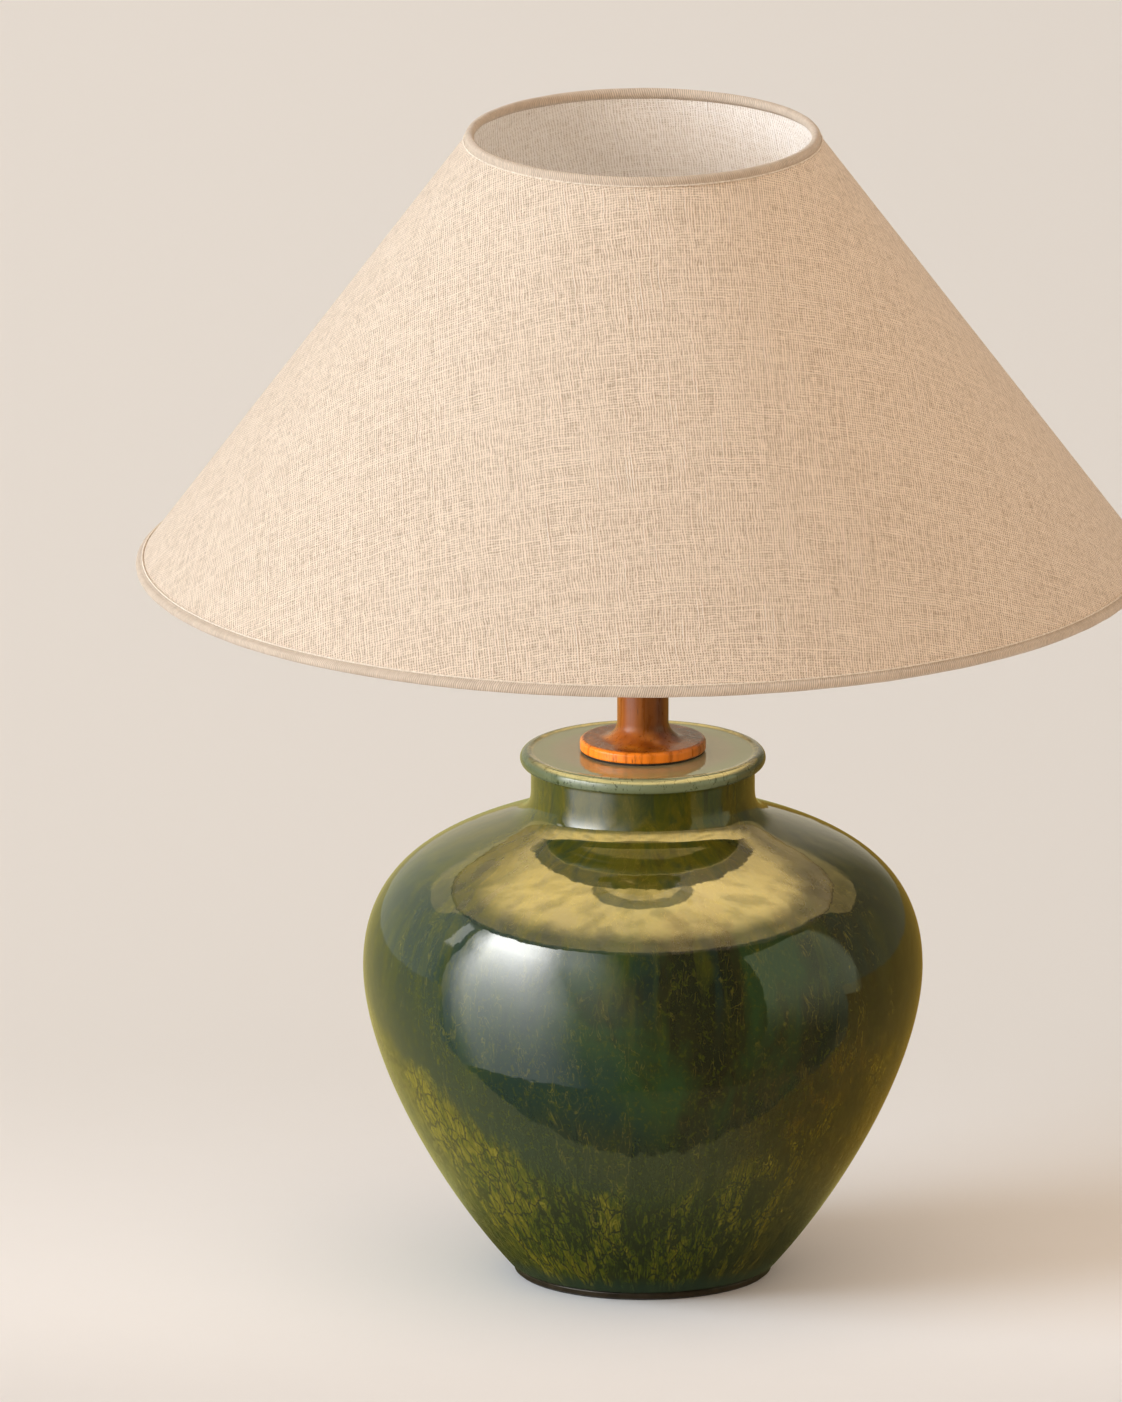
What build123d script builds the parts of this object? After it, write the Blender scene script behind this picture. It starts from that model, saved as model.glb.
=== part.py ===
from build123d import *
from build123d import SkipClean
from math import asin, atan2, cos, degrees, radians, sin, sqrt, tan
import os

os.makedirs("parts", exist_ok=True)

# Ceramic bedside lamp with a turned wooden neck and a wide linen cone shade.
# Millimetres, +Z up, origin on the table under the middle of the foot.

# Clearances
slip_gap = 0.2          # rod or sleeve in a plain hole
thread_gap = 0.05       # screwed pieces, drawn without their threads
turn_gap = 0.3          # faces that turn or slide on each other
weld_gap = 0.02         # welded or glued faces

# Base plate and felt
felt_thickness = 1.0
felt_inset = 1.2        # felt edge inside the plate's edge
plate_thickness = 2.0
plate_ledge = 0.6       # how far the plate shows beyond the rounded foot
pan_rise = 17.0         # raised middle of the plate, above the flange
pan_bend = 2.0          # inside bend radius of the pressing

# Ceramic body
foot_radius = 51.5
foot_round = 1.5
foot_land = 8.0         # width of the ring that stands on the plate
foot_depth = 6.0        # height of the straight wall inside the foot
foot_flare = 42.0       # lean of the wall at the foot, degrees from upright
foot_pull = 45.0        # how far that lean carries up the wall
belly_radius = 110.4
belly_height = 121.0    # widest place, above the foot
belly_pull_low = 35.0
belly_pull_high = 48.0
shoulder_height = 21.0  # where the shoulder meets the neck, below the middle of the lip
shoulder_slope = 26.0   # degrees above level at the neck
shoulder_pull = 24.0
shoulder_cove = 12.0
neck_radius = 44.2
lip_radius = 48.5
lip_bead = 3.2          # radius of the rolled lip
lip_height = 205.5      # middle of the rolled lip, above the foot
lip_cove = 1.6
deck_dip = 0.5          # deck below the crest of the lip
deck_cove = 1.2
deck_thickness = 7.0
deck_hole_gap = 1.0     # round the rod, in the fired clay
clay_wall = 6.0

# Cord outlet at the back of the foot
cord_height = 11.0
bush_radius = 4.8
bush_bore_radius = 3.4
bush_proud = 0.5
bush_tail = 1.5         # end inside the plate's raised middle

# Hollow threaded rod and its fasteners
rod_radius = 5.0
rod_bore_radius = 3.5
rod_tail = 2.0          # rod past a nut
base_washer_radius = 11.0
base_washer_thickness = 1.5
nut_flats = 14.0
base_nut_thickness = 5.0
lock_nut_thickness = 4.0

# Wooden neck
gasket_thickness = 0.8
gasket_inset = 0.8
flange_radius = 24.9
flange_thickness = 4.6
flange_top_round = 1.6
flange_low_round = 0.8
column_radius = 10.15
column_cove = 7.0
neck_length = 54.0      # underside of the flange to the top of the column
column_chamfer = 0.6
check_ring_radius = 11.0
check_ring_thickness = 2.0
check_ring_round = 0.8

# Lamp holder, lower part with the switch
boss_radius = 8.0
boss_height = 8.0
bowl_floor_radius = 10.0
cap_radius = 19.0
cap_wall = 1.0
cap_side = 19.0         # straight side above the bowl
set_screw_radius = 1.5
set_screw_proud = 0.8
bar_height = 7.5        # middle of the switch bar, above the bowl
bar_radius = 2.8
bar_travel = 6.0
tip_radius = 4.2
tip_length = 8.0
tip_grip = 5.0          # bar inside its tip
tip_dome = 1.5
block_height = 15.4
wire_hole_radius = 2.2
wire_hole_offset = 11.8
bridge_thickness = 1.6
bridge_width = 13.0
bridge_height = 7.6
blade_thickness = 0.8
blade_width = 3.0
blade_height = 8.4

# Lamp holder, upper part with the screw socket
core_radius = 16.6
core_height = 32.0
core_floor = 10.0
slot_width = 7.0        # wiring slot under the core
slot_depth = 4.0
screw_head_radius = 2.6
screw_head_height = 1.8
screw_shank_radius = 1.5
screw_shank_length = 5.0
terminal_offset = 9.0
shell_bore_radius = 13.5
shell_wall = 0.8
contact_width = 5.0
contact_thickness = 0.6
contact_foot = 5.0
contact_ramp = 4.0
contact_tongue = 6.0
contact_lift = 2.6      # top of the spring tongue above its foot
skirt_wall = 2.9
skirt_flange_radius = 23.5
skirt_flange = 2.0
spigot_depth = 4.0
skirt_lip = 2.2
skirt_lip_radius = 14.8
ring_radius = 24.8
ring_flange = 2.6
ring_collar = 3.0       # wall of the upper part of the shade ring
ring_height = 7.0
ring_flutes = 30        # grip notches round the edge
flute_radius = 1.1

# Bulb with a screw cap
tip_contact_radius = 4.6
tip_contact_height = 1.4
insulator_height = 3.4
insulator_plug = 1.2
insulator_low_radius = 5.4
bulb_cap_radius = 13.1
bulb_cap_wall = 0.5
bulb_cap_length = 21.0
driver_radius = 9.5
driver_height = 9.0
glass_wall = 0.8
glass_insert = 6.0      # glass neck inside the cap
glass_neck = 5.0        # straight neck above the cap
glass_neck_pull = 16.0
glass_radius = 30.0
glass_pull = 22.0
equator_height = 50.0   # widest place, above the cap
stem_flare = 1.2
stem_taper = 12.0
stem_radius = 1.8
stem_height = 1.0       # rod above the upper wire star
star_thickness = 0.6
star_arm = 1.4
star_hub_radius = 3.2
star_reach = 9.0
filament_count = 4
filament_radius = 0.9
filament_length = 34.0
filament_drop = 16.0    # foot of the filaments below the widest place

# Shade
shade_bottom_diameter = 400.0
shade_top_diameter = 140.5
shade_height = 178.0
ring_wire_radius = 1.0
tape_thickness = 0.4
tape_gap = 0.4          # tape round the wire
tape_flap = 2.6         # tape past the middle of the wire, up the cloth
cloth_thickness = 0.6
liner_thickness = 0.6
cloth_edge_gap = 0.8    # cloth edge to the wire
carrier_rise = 20.0     # carrier ring above the bottom wire
carrier_radius = 26.0
carrier_thickness = 1.8
spoke_count = 3
spoke_radius = 1.2
spoke_turn = 90.0       # first spoke points to the back
snip_angle = 75.0       # snip in the tape, from level down round the wire

# Heights, from the table up
plate_z = felt_thickness
foot_z = plate_z + plate_thickness
pan_top_z = foot_z + pan_rise
belly_z = foot_z + belly_height
lip_z = foot_z + lip_height
shoulder_z = lip_z - shoulder_height
deck_z = lip_z + lip_bead - deck_dip
flange_z = deck_z + gasket_thickness
column_top_z = flange_z + neck_length
cap_z = column_top_z + check_ring_thickness
bowl_z = cap_z + boss_height
bowl_radius = cap_radius - bowl_floor_radius
side_z = bowl_z + bowl_radius
cap_top_z = side_z + cap_side
bar_z = side_z + bar_height
seat_z = cap_top_z + skirt_flange
carrier_z = seat_z + turn_gap
ring_z = carrier_z + carrier_thickness + turn_gap
shade_bottom_z = carrier_z + carrier_thickness / 2 - carrier_rise


# Corner of a section at a radius and a height, looked up afresh after each rounding
def corner(section, radius, height):
    return section.vertices().sort_by_distance((radius, height))[0]


# Felt glued under the base plate
with BuildPart() as felt_pad:
    plate_radius = foot_radius - foot_round + plate_ledge
    Cylinder(plate_radius - felt_inset, felt_thickness, align=(Align.CENTER, Align.CENTER, Align.MIN))
felt_pad.part.label = "felt_pad"
export_step(felt_pad.part, "parts/felt_pad.step")


# Pressed steel base plate: flange under the foot, raised middle inside it
foot_opening_radius = foot_radius - foot_land
pan_radius = foot_opening_radius - turn_gap
pan_under_z = pan_top_z - plate_thickness
rod_hole_radius = rod_radius + slip_gap
bush_hole_radius = bush_radius + slip_gap

with BuildPart() as base_plate:
    with BuildSketch(Plane.XZ) as pan_section:
        with BuildLine():
            Polyline(
                (rod_hole_radius, pan_top_z),
                (pan_radius, pan_top_z),
                (pan_radius, foot_z),
                (plate_radius, foot_z),
                (plate_radius, plate_z),
                (pan_radius - plate_thickness, plate_z),
                (pan_radius - plate_thickness, pan_under_z),
                (rod_hole_radius, pan_under_z),
                close=True,
            )
        make_face()
        fillet(corner(pan_section, pan_radius, pan_top_z), pan_bend + plate_thickness)
        fillet(corner(pan_section, pan_radius - plate_thickness, pan_under_z), pan_bend)
        fillet(corner(pan_section, plate_radius, foot_z), plate_thickness / 4)
    revolve(axis=Axis.Z)
    with Locations(Plane(origin=(0, pan_radius + turn_gap, cord_height), z_dir=(0, 1, 0))):
        Hole(bush_hole_radius, depth=2 * plate_thickness + turn_gap)
base_plate.part.label = "base_plate"
export_step(base_plate.part, "parts/base_plate.step")


# Washer and nut that draw the rod down, in the hollow under the plate
with BuildPart() as base_washer:
    with BuildSketch(Plane.XY.offset(pan_under_z - base_washer_thickness)):
        Circle(base_washer_radius)
        Circle(rod_hole_radius, mode=Mode.SUBTRACT)
    extrude(amount=base_washer_thickness)
base_washer.part.label = "base_washer"
export_step(base_washer.part, "parts/base_washer.step")

base_nut_z = pan_under_z - base_washer_thickness - base_nut_thickness
nut_bore_radius = rod_radius + thread_gap

with BuildPart() as base_nut:
    with BuildSketch(Plane.XY.offset(base_nut_z)):
        RegularPolygon(nut_flats / 2, 6, major_radius=False)
        Circle(nut_bore_radius, mode=Mode.SUBTRACT)
    extrude(amount=base_nut_thickness)
base_nut.part.label = "base_nut"
export_step(base_nut.part, "parts/base_nut.step")


# Hollow threaded rod from under the plate up into the lamp holder
rod_low_z = base_nut_z - rod_tail
lock_nut_z = bowl_z + cap_wall
rod_top_z = lock_nut_z + lock_nut_thickness + rod_tail / 2

with BuildPart() as threaded_rod:
    with BuildSketch(Plane.XY.offset(rod_low_z)):
        Circle(rod_radius)
        Circle(rod_bore_radius, mode=Mode.SUBTRACT)
    extrude(amount=rod_top_z - rod_low_z)
threaded_rod.part.label = "threaded_rod"
export_step(threaded_rod.part, "parts/threaded_rod.step")


# Wall of the vase from the foot to the widest place and over the shoulder to the neck
def lower_wall(start, belly):
    lean = radians(foot_flare)
    pull = (start[0] + foot_pull * sin(lean), start[1] + foot_pull * cos(lean))
    return Bezier(start, pull, (belly[0], belly[1] - belly_pull_low), belly)


def upper_wall(belly, end):
    slope = radians(shoulder_slope)
    pull = (end[0] + shoulder_pull * cos(slope), end[1] - shoulder_pull * sin(slope))
    return Bezier(belly, (belly[0], belly[1] + belly_pull_high), pull, end)


# Thrown and glazed body: open at the foot, closed by a deck inside the rolled lip
lip_middle = lip_radius - lip_bead
lip_under_z = lip_z - sqrt(lip_bead**2 - (lip_middle - neck_radius) ** 2)
deck_edge = lip_middle - sqrt(lip_bead**2 - (lip_bead - deck_dip) ** 2)
deck_under_z = deck_z - deck_thickness

with BuildPart() as ceramic_body:
    with BuildSketch(Plane.XZ) as outside:
        with BuildLine():
            Line((0, foot_z), (foot_radius, foot_z))
            lower_wall((foot_radius, foot_z), (belly_radius, belly_z))
            upper_wall((belly_radius, belly_z), (neck_radius, shoulder_z))
            Line((neck_radius, shoulder_z), (neck_radius, lip_under_z))
            ThreePointArc((neck_radius, lip_under_z), (lip_radius, lip_z), (deck_edge, deck_z))
            Polyline((deck_edge, deck_z), (0, deck_z), (0, foot_z))
        make_face()
        fillet(corner(outside, foot_radius, foot_z), foot_round)
        fillet(corner(outside, neck_radius, shoulder_z), shoulder_cove)
        fillet(corner(outside, neck_radius, lip_under_z), lip_cove)
        fillet(corner(outside, deck_edge, deck_z), deck_cove)
    revolve(axis=Axis.Z)
    inner_foot = (foot_opening_radius, foot_z + foot_depth)
    inner_belly = (belly_radius - clay_wall, belly_z)
    inner_neck = (neck_radius - clay_wall, shoulder_z - clay_wall)
    with BuildSketch(Plane.XZ):
        with BuildLine():
            Polyline((0, foot_z), (foot_opening_radius, foot_z), inner_foot)
            lower_wall(inner_foot, inner_belly)
            upper_wall(inner_belly, inner_neck)
            Polyline(inner_neck, (inner_neck[0], deck_under_z), (0, deck_under_z), (0, foot_z))
        make_face()
    revolve(axis=Axis.Z, mode=Mode.SUBTRACT)
    with Locations((0, 0, deck_z)):
        Hole(rod_radius + deck_hole_gap, depth=2 * deck_thickness)
    with Locations(Plane(origin=(0, belly_radius, cord_height), z_dir=(0, 1, 0))):
        Hole(bush_hole_radius, depth=belly_radius - pan_radius)
ceramic_body.part.label = "ceramic_body"
export_step(ceramic_body.part, "parts/ceramic_body.step")


# Plastic sleeve that leads the cord through the foot and the plate's raised middle
bush_inner_y = pan_radius - plate_thickness - bush_tail
bush_outer_y = foot_radius + (cord_height - foot_z) * tan(radians(foot_flare)) + bush_proud

with BuildPart() as cord_bush:
    with BuildSketch(Plane(origin=(0, bush_inner_y, cord_height), z_dir=(0, 1, 0))):
        Circle(bush_radius)
        Circle(bush_bore_radius, mode=Mode.SUBTRACT)
    extrude(amount=bush_outer_y - bush_inner_y)
    rim = cord_bush.faces().sort_by(Axis.Y)[-1].edges()
    fillet(rim, (bush_radius - bush_bore_radius) / 4)
cord_bush.part.label = "cord_bush"
export_step(cord_bush.part, "parts/cord_bush.step")


# Thin gasket between the wood and the glaze
with BuildPart() as neck_gasket:
    with BuildSketch(Plane.XY.offset(deck_z)):
        Circle(flange_radius - gasket_inset)
        Circle(rod_hole_radius, mode=Mode.SUBTRACT)
    extrude(amount=gasket_thickness)
neck_gasket.part.label = "neck_gasket"
export_step(neck_gasket.part, "parts/neck_gasket.step")


# Turned wooden neck: a disc with a cove up into a straight column
flange_top_z = flange_z + flange_thickness

with BuildPart() as wooden_neck:
    with BuildSketch(Plane.XZ) as turning:
        with BuildLine():
            Polyline(
                (rod_hole_radius, flange_z),
                (flange_radius, flange_z),
                (flange_radius, flange_top_z),
                (column_radius, flange_top_z),
                (column_radius, column_top_z),
                (rod_hole_radius, column_top_z),
                close=True,
            )
        make_face()
        fillet(corner(turning, flange_radius, flange_z), flange_low_round)
        fillet(corner(turning, flange_radius, flange_top_z), flange_top_round)
        fillet(corner(turning, column_radius, flange_top_z), column_cove)
        chamfer(corner(turning, column_radius, column_top_z), column_chamfer)
    revolve(axis=Axis.Z)
wooden_neck.part.label = "wooden_neck"
export_step(wooden_neck.part, "parts/wooden_neck.step")


# Brass ring on top of the column, under the lamp holder
with BuildPart() as check_ring:
    with BuildSketch(Plane.XY.offset(column_top_z)):
        Circle(check_ring_radius)
        Circle(rod_hole_radius, mode=Mode.SUBTRACT)
    extrude(amount=check_ring_thickness)
    outer_edges = check_ring.edges().filter_by(GeomType.CIRCLE).sort_by(SortBy.RADIUS)[-2:]
    fillet(outer_edges, check_ring_round)
check_ring.part.label = "check_ring"
export_step(check_ring.part, "parts/check_ring.step")


# Brass cap of the lamp holder: screwed boss, round bowl, straight side
cap_bore = cap_radius - cap_wall
bar_hole_radius = bar_radius + turn_gap
set_screw_z = cap_z + boss_height / 2

with BuildPart() as holder_cap:
    with BuildSketch(Plane.XZ):
        with BuildLine():
            Polyline(
                (nut_bore_radius, bowl_z + cap_wall),
                (nut_bore_radius, cap_z),
                (boss_radius, cap_z),
                (boss_radius, bowl_z),
                (bowl_floor_radius, bowl_z),
            )
            TangentArc((bowl_floor_radius, bowl_z), (cap_radius, side_z), tangent=(1, 0))
            Polyline((cap_radius, side_z), (cap_radius, cap_top_z), (cap_bore, cap_top_z), (cap_bore, side_z))
            TangentArc((cap_bore, side_z), (bowl_floor_radius, bowl_z + cap_wall), tangent=(0, -1))
            Line((bowl_floor_radius, bowl_z + cap_wall), (nut_bore_radius, bowl_z + cap_wall))
        make_face()
    revolve(axis=Axis.Z)
    with Locations((0, 0, bar_z)):
        Cylinder(bar_hole_radius, 3 * cap_radius, rotation=(0, 90, 0), mode=Mode.SUBTRACT)
    with Locations(Plane(origin=(0, boss_radius, set_screw_z), z_dir=(0, 1, 0))):
        Hole(set_screw_radius + thread_gap, depth=boss_radius - rod_radius)
holder_cap.part.label = "holder_cap"
export_step(holder_cap.part, "parts/holder_cap.step")


# Set screw that stops the holder turning on the rod
with BuildPart() as set_screw:
    with BuildSketch(Plane(origin=(0, rod_radius + weld_gap, set_screw_z), z_dir=(0, 1, 0))):
        Circle(set_screw_radius)
    extrude(amount=boss_radius + set_screw_proud - rod_radius)
    with BuildSketch(Plane(origin=(0, boss_radius + set_screw_proud, set_screw_z), z_dir=(0, 1, 0))):
        Rectangle(2 * set_screw_radius, set_screw_radius / 3)
    extrude(amount=-set_screw_proud, mode=Mode.SUBTRACT)
set_screw.part.label = "set_screw"
export_step(set_screw.part, "parts/set_screw.step")


# Lock nut on the rod, inside the bowl of the cap
with BuildPart() as lock_nut:
    with BuildSketch(Plane.XY.offset(lock_nut_z)):
        RegularPolygon(nut_flats / 2, 6, major_radius=False)
        Circle(nut_bore_radius, mode=Mode.SUBTRACT)
    extrude(amount=lock_nut_thickness)
lock_nut.part.label = "lock_nut"
export_step(lock_nut.part, "parts/lock_nut.step")


# Moulded switch block: rests on the curve of the bowl, with a pocket open at the top
block_radius = cap_bore - turn_gap
bowl_bore_radius = bowl_radius - cap_wall
block_overhang = block_radius - bowl_floor_radius
block_z = side_z - sqrt(bowl_bore_radius**2 - block_overhang**2) + turn_gap
block_top_z = block_z + block_height
pocket_low_x = -bridge_thickness / 2 - turn_gap
pocket_high_x = bridge_thickness / 2 + bar_travel + turn_gap + blade_thickness
pocket_floor_z = bar_z - blade_height / 2

with BuildPart() as switch_block:
    with BuildSketch(Plane.XY.offset(block_z)):
        Circle(block_radius)
        with Locations((0, wire_hole_offset), (0, -wire_hole_offset)):
            Circle(wire_hole_radius, mode=Mode.SUBTRACT)
    extrude(amount=block_height)
    with Locations((0, 0, bar_z)):
        Cylinder(bar_hole_radius, 3 * block_radius, rotation=(0, 90, 0), mode=Mode.SUBTRACT)
    with BuildSketch(Plane.XY.offset(pocket_floor_z)):
        with Locations(((pocket_low_x + pocket_high_x) / 2, 0)):
            Rectangle(pocket_high_x - pocket_low_x, bridge_width + 2 * turn_gap)
    extrude(amount=block_top_z - pocket_floor_z, mode=Mode.SUBTRACT)
switch_block.part.label = "switch_block"
export_step(switch_block.part, "parts/switch_block.step")


# Two fixed blades at the end of the pocket
with BuildPart() as switch_contacts:
    blade_offset = (bridge_width - blade_width) / 2
    with BuildSketch(Plane.XY.offset(pocket_floor_z)):
        with Locations((pocket_high_x - blade_thickness / 2, 0)):
            with GridLocations(1, 2 * blade_offset, 1, 2):
                Rectangle(blade_thickness, blade_width)
    extrude(amount=blade_height)
switch_contacts.part.label = "switch_contacts"
export_step(switch_contacts.part, "parts/switch_contacts.step")


# Push bar right through the holder, shown pushed to the off side
bar_low_x = -(cap_radius + turn_gap + bar_travel + tip_grip)
bar_high_x = cap_radius + turn_gap + tip_grip

with BuildPart() as push_bar:
    with BuildSketch(Plane(origin=(bar_low_x, 0, bar_z), z_dir=(1, 0, 0))):
        Circle(bar_radius)
    extrude(amount=bar_high_x - bar_low_x)
push_bar.part.label = "push_bar"
export_step(push_bar.part, "parts/push_bar.step")


# Moulded tips on both ends of the bar
with BuildPart() as bar_tips:
    low_plane = Plane(origin=(bar_low_x + tip_grip, 0, bar_z), z_dir=(-1, 0, 0))
    high_plane = Plane(origin=(bar_high_x - tip_grip, 0, bar_z), z_dir=(1, 0, 0))
    with BuildSketch(low_plane, high_plane):
        Circle(tip_radius)
    extrude(amount=tip_length)
    fillet(bar_tips.faces().sort_by(Axis.X)[0].edges(), tip_dome)
    fillet(bar_tips.faces().sort_by(Axis.X)[-1].edges(), tip_dome)
    with BuildSketch(low_plane, high_plane):
        Circle(bar_radius + weld_gap)
    extrude(amount=tip_grip + weld_gap, mode=Mode.SUBTRACT)
bar_tips.part.label = "bar_tips"
export_step(bar_tips.part, "parts/bar_tips.step")


# Contact bridge carried on the middle of the bar
with BuildPart() as contact_bridge:
    with BuildSketch(Plane(origin=(-bridge_thickness / 2, 0, bar_z), x_dir=(0, 1, 0), z_dir=(1, 0, 0))):
        Rectangle(bridge_width, bridge_height)
        Circle(bar_radius + weld_gap, mode=Mode.SUBTRACT)
    extrude(amount=bridge_thickness)
contact_bridge.part.label = "contact_bridge"
export_step(contact_bridge.part, "parts/contact_bridge.step")


# Porcelain core: wiring slot below, round pocket for the screw socket above
core_z = block_top_z + weld_gap
core_floor_z = core_z + core_floor
core_top_z = core_z + core_height
shell_radius = shell_bore_radius + shell_wall
slot_roof_z = core_z + slot_depth

with BuildPart() as holder_core:
    with BuildSketch(Plane.XY.offset(core_z)):
        Circle(core_radius)
    extrude(amount=core_height)
    with BuildSketch(Plane.XY.offset(core_floor_z)):
        Circle(shell_radius + thread_gap)
    extrude(amount=core_height - core_floor, mode=Mode.SUBTRACT)
    with BuildSketch(Plane.XY.offset(core_z)):
        Rectangle(slot_width, 3 * core_radius)
    extrude(amount=slot_depth, mode=Mode.SUBTRACT)
    with BuildSketch(Plane.XY.offset(slot_roof_z)):
        with Locations((0, terminal_offset), (0, -terminal_offset)):
            Circle(screw_shank_radius + thread_gap)
    extrude(amount=screw_shank_length, mode=Mode.SUBTRACT)
holder_core.part.label = "holder_core"
export_step(holder_core.part, "parts/holder_core.step")


# Terminal screws, heads down in the wiring slot
with BuildPart() as terminal_screws:
    with BuildSketch(Plane.XY.offset(slot_roof_z - screw_head_height)):
        with Locations((0, terminal_offset), (0, -terminal_offset)):
            Circle(screw_head_radius)
    extrude(amount=screw_head_height)
    with BuildSketch(Plane.XY.offset(slot_roof_z)):
        with Locations((0, terminal_offset), (0, -terminal_offset)):
            Circle(screw_shank_radius)
    extrude(amount=screw_shank_length - thread_gap)
terminal_screws.part.label = "terminal_screws"
export_step(terminal_screws.part, "parts/terminal_screws.step")


# Sprung centre contact: foot on the core, ramp, tongue under the bulb
contact_top_z = core_floor_z + contact_thickness + contact_lift
tongue_half = contact_tongue / 2

with BuildPart() as centre_contact:
    with BuildSketch(Plane.XZ):
        with BuildLine():
            Polyline(
                (-tongue_half - contact_ramp - contact_foot, core_floor_z),
                (-tongue_half - contact_ramp, core_floor_z),
                (-tongue_half, core_floor_z + contact_lift),
                (tongue_half, core_floor_z + contact_lift),
                (tongue_half, contact_top_z),
                (-tongue_half - contact_thickness / 2, contact_top_z),
                (-tongue_half - contact_ramp - contact_thickness / 2, core_floor_z + contact_thickness),
                (-tongue_half - contact_ramp - contact_foot, core_floor_z + contact_thickness),
                close=True,
            )
        make_face()
    extrude(amount=contact_width / 2, both=True)
centre_contact.part.label = "centre_contact"
export_step(centre_contact.part, "parts/centre_contact.step")


# Brass screw socket, drawn as the bore of its thread
with BuildPart() as screw_shell:
    with BuildSketch(Plane.XY.offset(core_floor_z)):
        Circle(shell_radius)
        Circle(shell_bore_radius, mode=Mode.SUBTRACT)
    extrude(amount=core_height - core_floor - thread_gap)
screw_shell.part.label = "screw_shell"
export_step(screw_shell.part, "parts/screw_shell.step")


# Moulded skirt: spigot in the cap, flange that carries the shade, threaded sleeve, lip at the mouth
skirt_bore = core_radius + turn_gap
sleeve_radius = skirt_bore + skirt_wall
spigot_radius = cap_bore - thread_gap
lip_low_z = core_top_z + turn_gap
skirt_top_z = lip_low_z + skirt_lip

with BuildPart() as holder_skirt:
    with BuildSketch(Plane.XZ):
        with BuildLine():
            Polyline(
                (skirt_bore, cap_top_z - spigot_depth),
                (spigot_radius, cap_top_z - spigot_depth),
                (spigot_radius, cap_top_z),
                (skirt_flange_radius, cap_top_z),
                (skirt_flange_radius, seat_z),
                (sleeve_radius, seat_z),
                (sleeve_radius, skirt_top_z),
                (skirt_lip_radius, skirt_top_z),
                (skirt_lip_radius, lip_low_z),
                (skirt_bore, lip_low_z),
                close=True,
            )
        make_face()
    revolve(axis=Axis.Z)
holder_skirt.part.label = "holder_skirt"
export_step(holder_skirt.part, "parts/holder_skirt.step")


# Shade ring screwed down on the carrier
ring_bore = sleeve_radius + turn_gap

with BuildPart() as shade_ring:
    with BuildSketch(Plane.XZ):
        with BuildLine():
            Polyline(
                (ring_bore, ring_z),
                (ring_radius, ring_z),
                (ring_radius, ring_z + ring_flange),
                (ring_bore + ring_collar, ring_z + ring_flange),
                (ring_bore + ring_collar, ring_z + ring_height),
                (ring_bore, ring_z + ring_height),
                close=True,
            )
        make_face()
    revolve(axis=Axis.Z)
    with BuildSketch(Plane.XY.offset(ring_z)):
        with PolarLocations(ring_radius + flute_radius / 2, ring_flutes):
            Circle(flute_radius)
    extrude(amount=ring_flange, mode=Mode.SUBTRACT)
shade_ring.part.label = "shade_ring"
export_step(shade_ring.part, "parts/shade_ring.step")


# Bulb, from the centre contact up
tip_z = contact_top_z + turn_gap
insulator_z = tip_z + tip_contact_height
bulb_cap_z = insulator_z + insulator_height
bulb_cap_bore = bulb_cap_radius - bulb_cap_wall
bulb_cap_top_z = bulb_cap_z + bulb_cap_length
plug_radius = bulb_cap_bore - thread_gap
plug_top_z = bulb_cap_z + insulator_plug

with BuildPart() as bulb_contact:
    with BuildSketch(Plane.XY.offset(tip_z)):
        Circle(tip_contact_radius)
    extrude(amount=tip_contact_height)
    fillet(bulb_contact.faces().sort_by(Axis.Z)[0].edges(), tip_contact_height / 2)
bulb_contact.part.label = "bulb_contact"
export_step(bulb_contact.part, "parts/bulb_contact.step")

with BuildPart() as bulb_insulator:
    with BuildSketch(Plane.XZ):
        with BuildLine():
            Polyline(
                (0, insulator_z),
                (insulator_low_radius, insulator_z),
                (bulb_cap_radius - 2 * bulb_cap_wall, bulb_cap_z),
                (plug_radius, bulb_cap_z),
                (plug_radius, plug_top_z),
                (0, plug_top_z),
                close=True,
            )
        make_face()
    revolve(axis=Axis.Z)
bulb_insulator.part.label = "bulb_insulator"
export_step(bulb_insulator.part, "parts/bulb_insulator.step")

with BuildPart() as bulb_cap:
    with BuildSketch(Plane.XY.offset(bulb_cap_z)):
        Circle(bulb_cap_radius)
        Circle(bulb_cap_bore, mode=Mode.SUBTRACT)
    extrude(amount=bulb_cap_length)
bulb_cap.part.label = "bulb_cap"
export_step(bulb_cap.part, "parts/bulb_cap.step")

with BuildPart() as bulb_driver:
    with BuildSketch(Plane.XY.offset(plug_top_z)):
        Circle(driver_radius)
    extrude(amount=driver_height)
bulb_driver.part.label = "bulb_driver"
export_step(bulb_driver.part, "parts/bulb_driver.step")


# Round of the glass, from the foot of its neck to the top, drawn in by a wall's thickness or not
glass_low_z = bulb_cap_top_z - glass_insert
glass_neck_radius = bulb_cap_bore - thread_gap
neck_end_z = bulb_cap_top_z + glass_neck
equator_z = bulb_cap_top_z + equator_height


def glass_round(inset):
    waist = glass_neck_radius - inset
    widest = glass_radius - inset
    Line((waist, glass_low_z), (waist, neck_end_z))
    Bezier(
        (waist, neck_end_z),
        (waist, neck_end_z + glass_neck_pull),
        (widest, equator_z - glass_pull),
        (widest, equator_z),
    )
    return TangentArc((widest, equator_z), (0, equator_z + widest), tangent=(0, 1))


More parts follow.
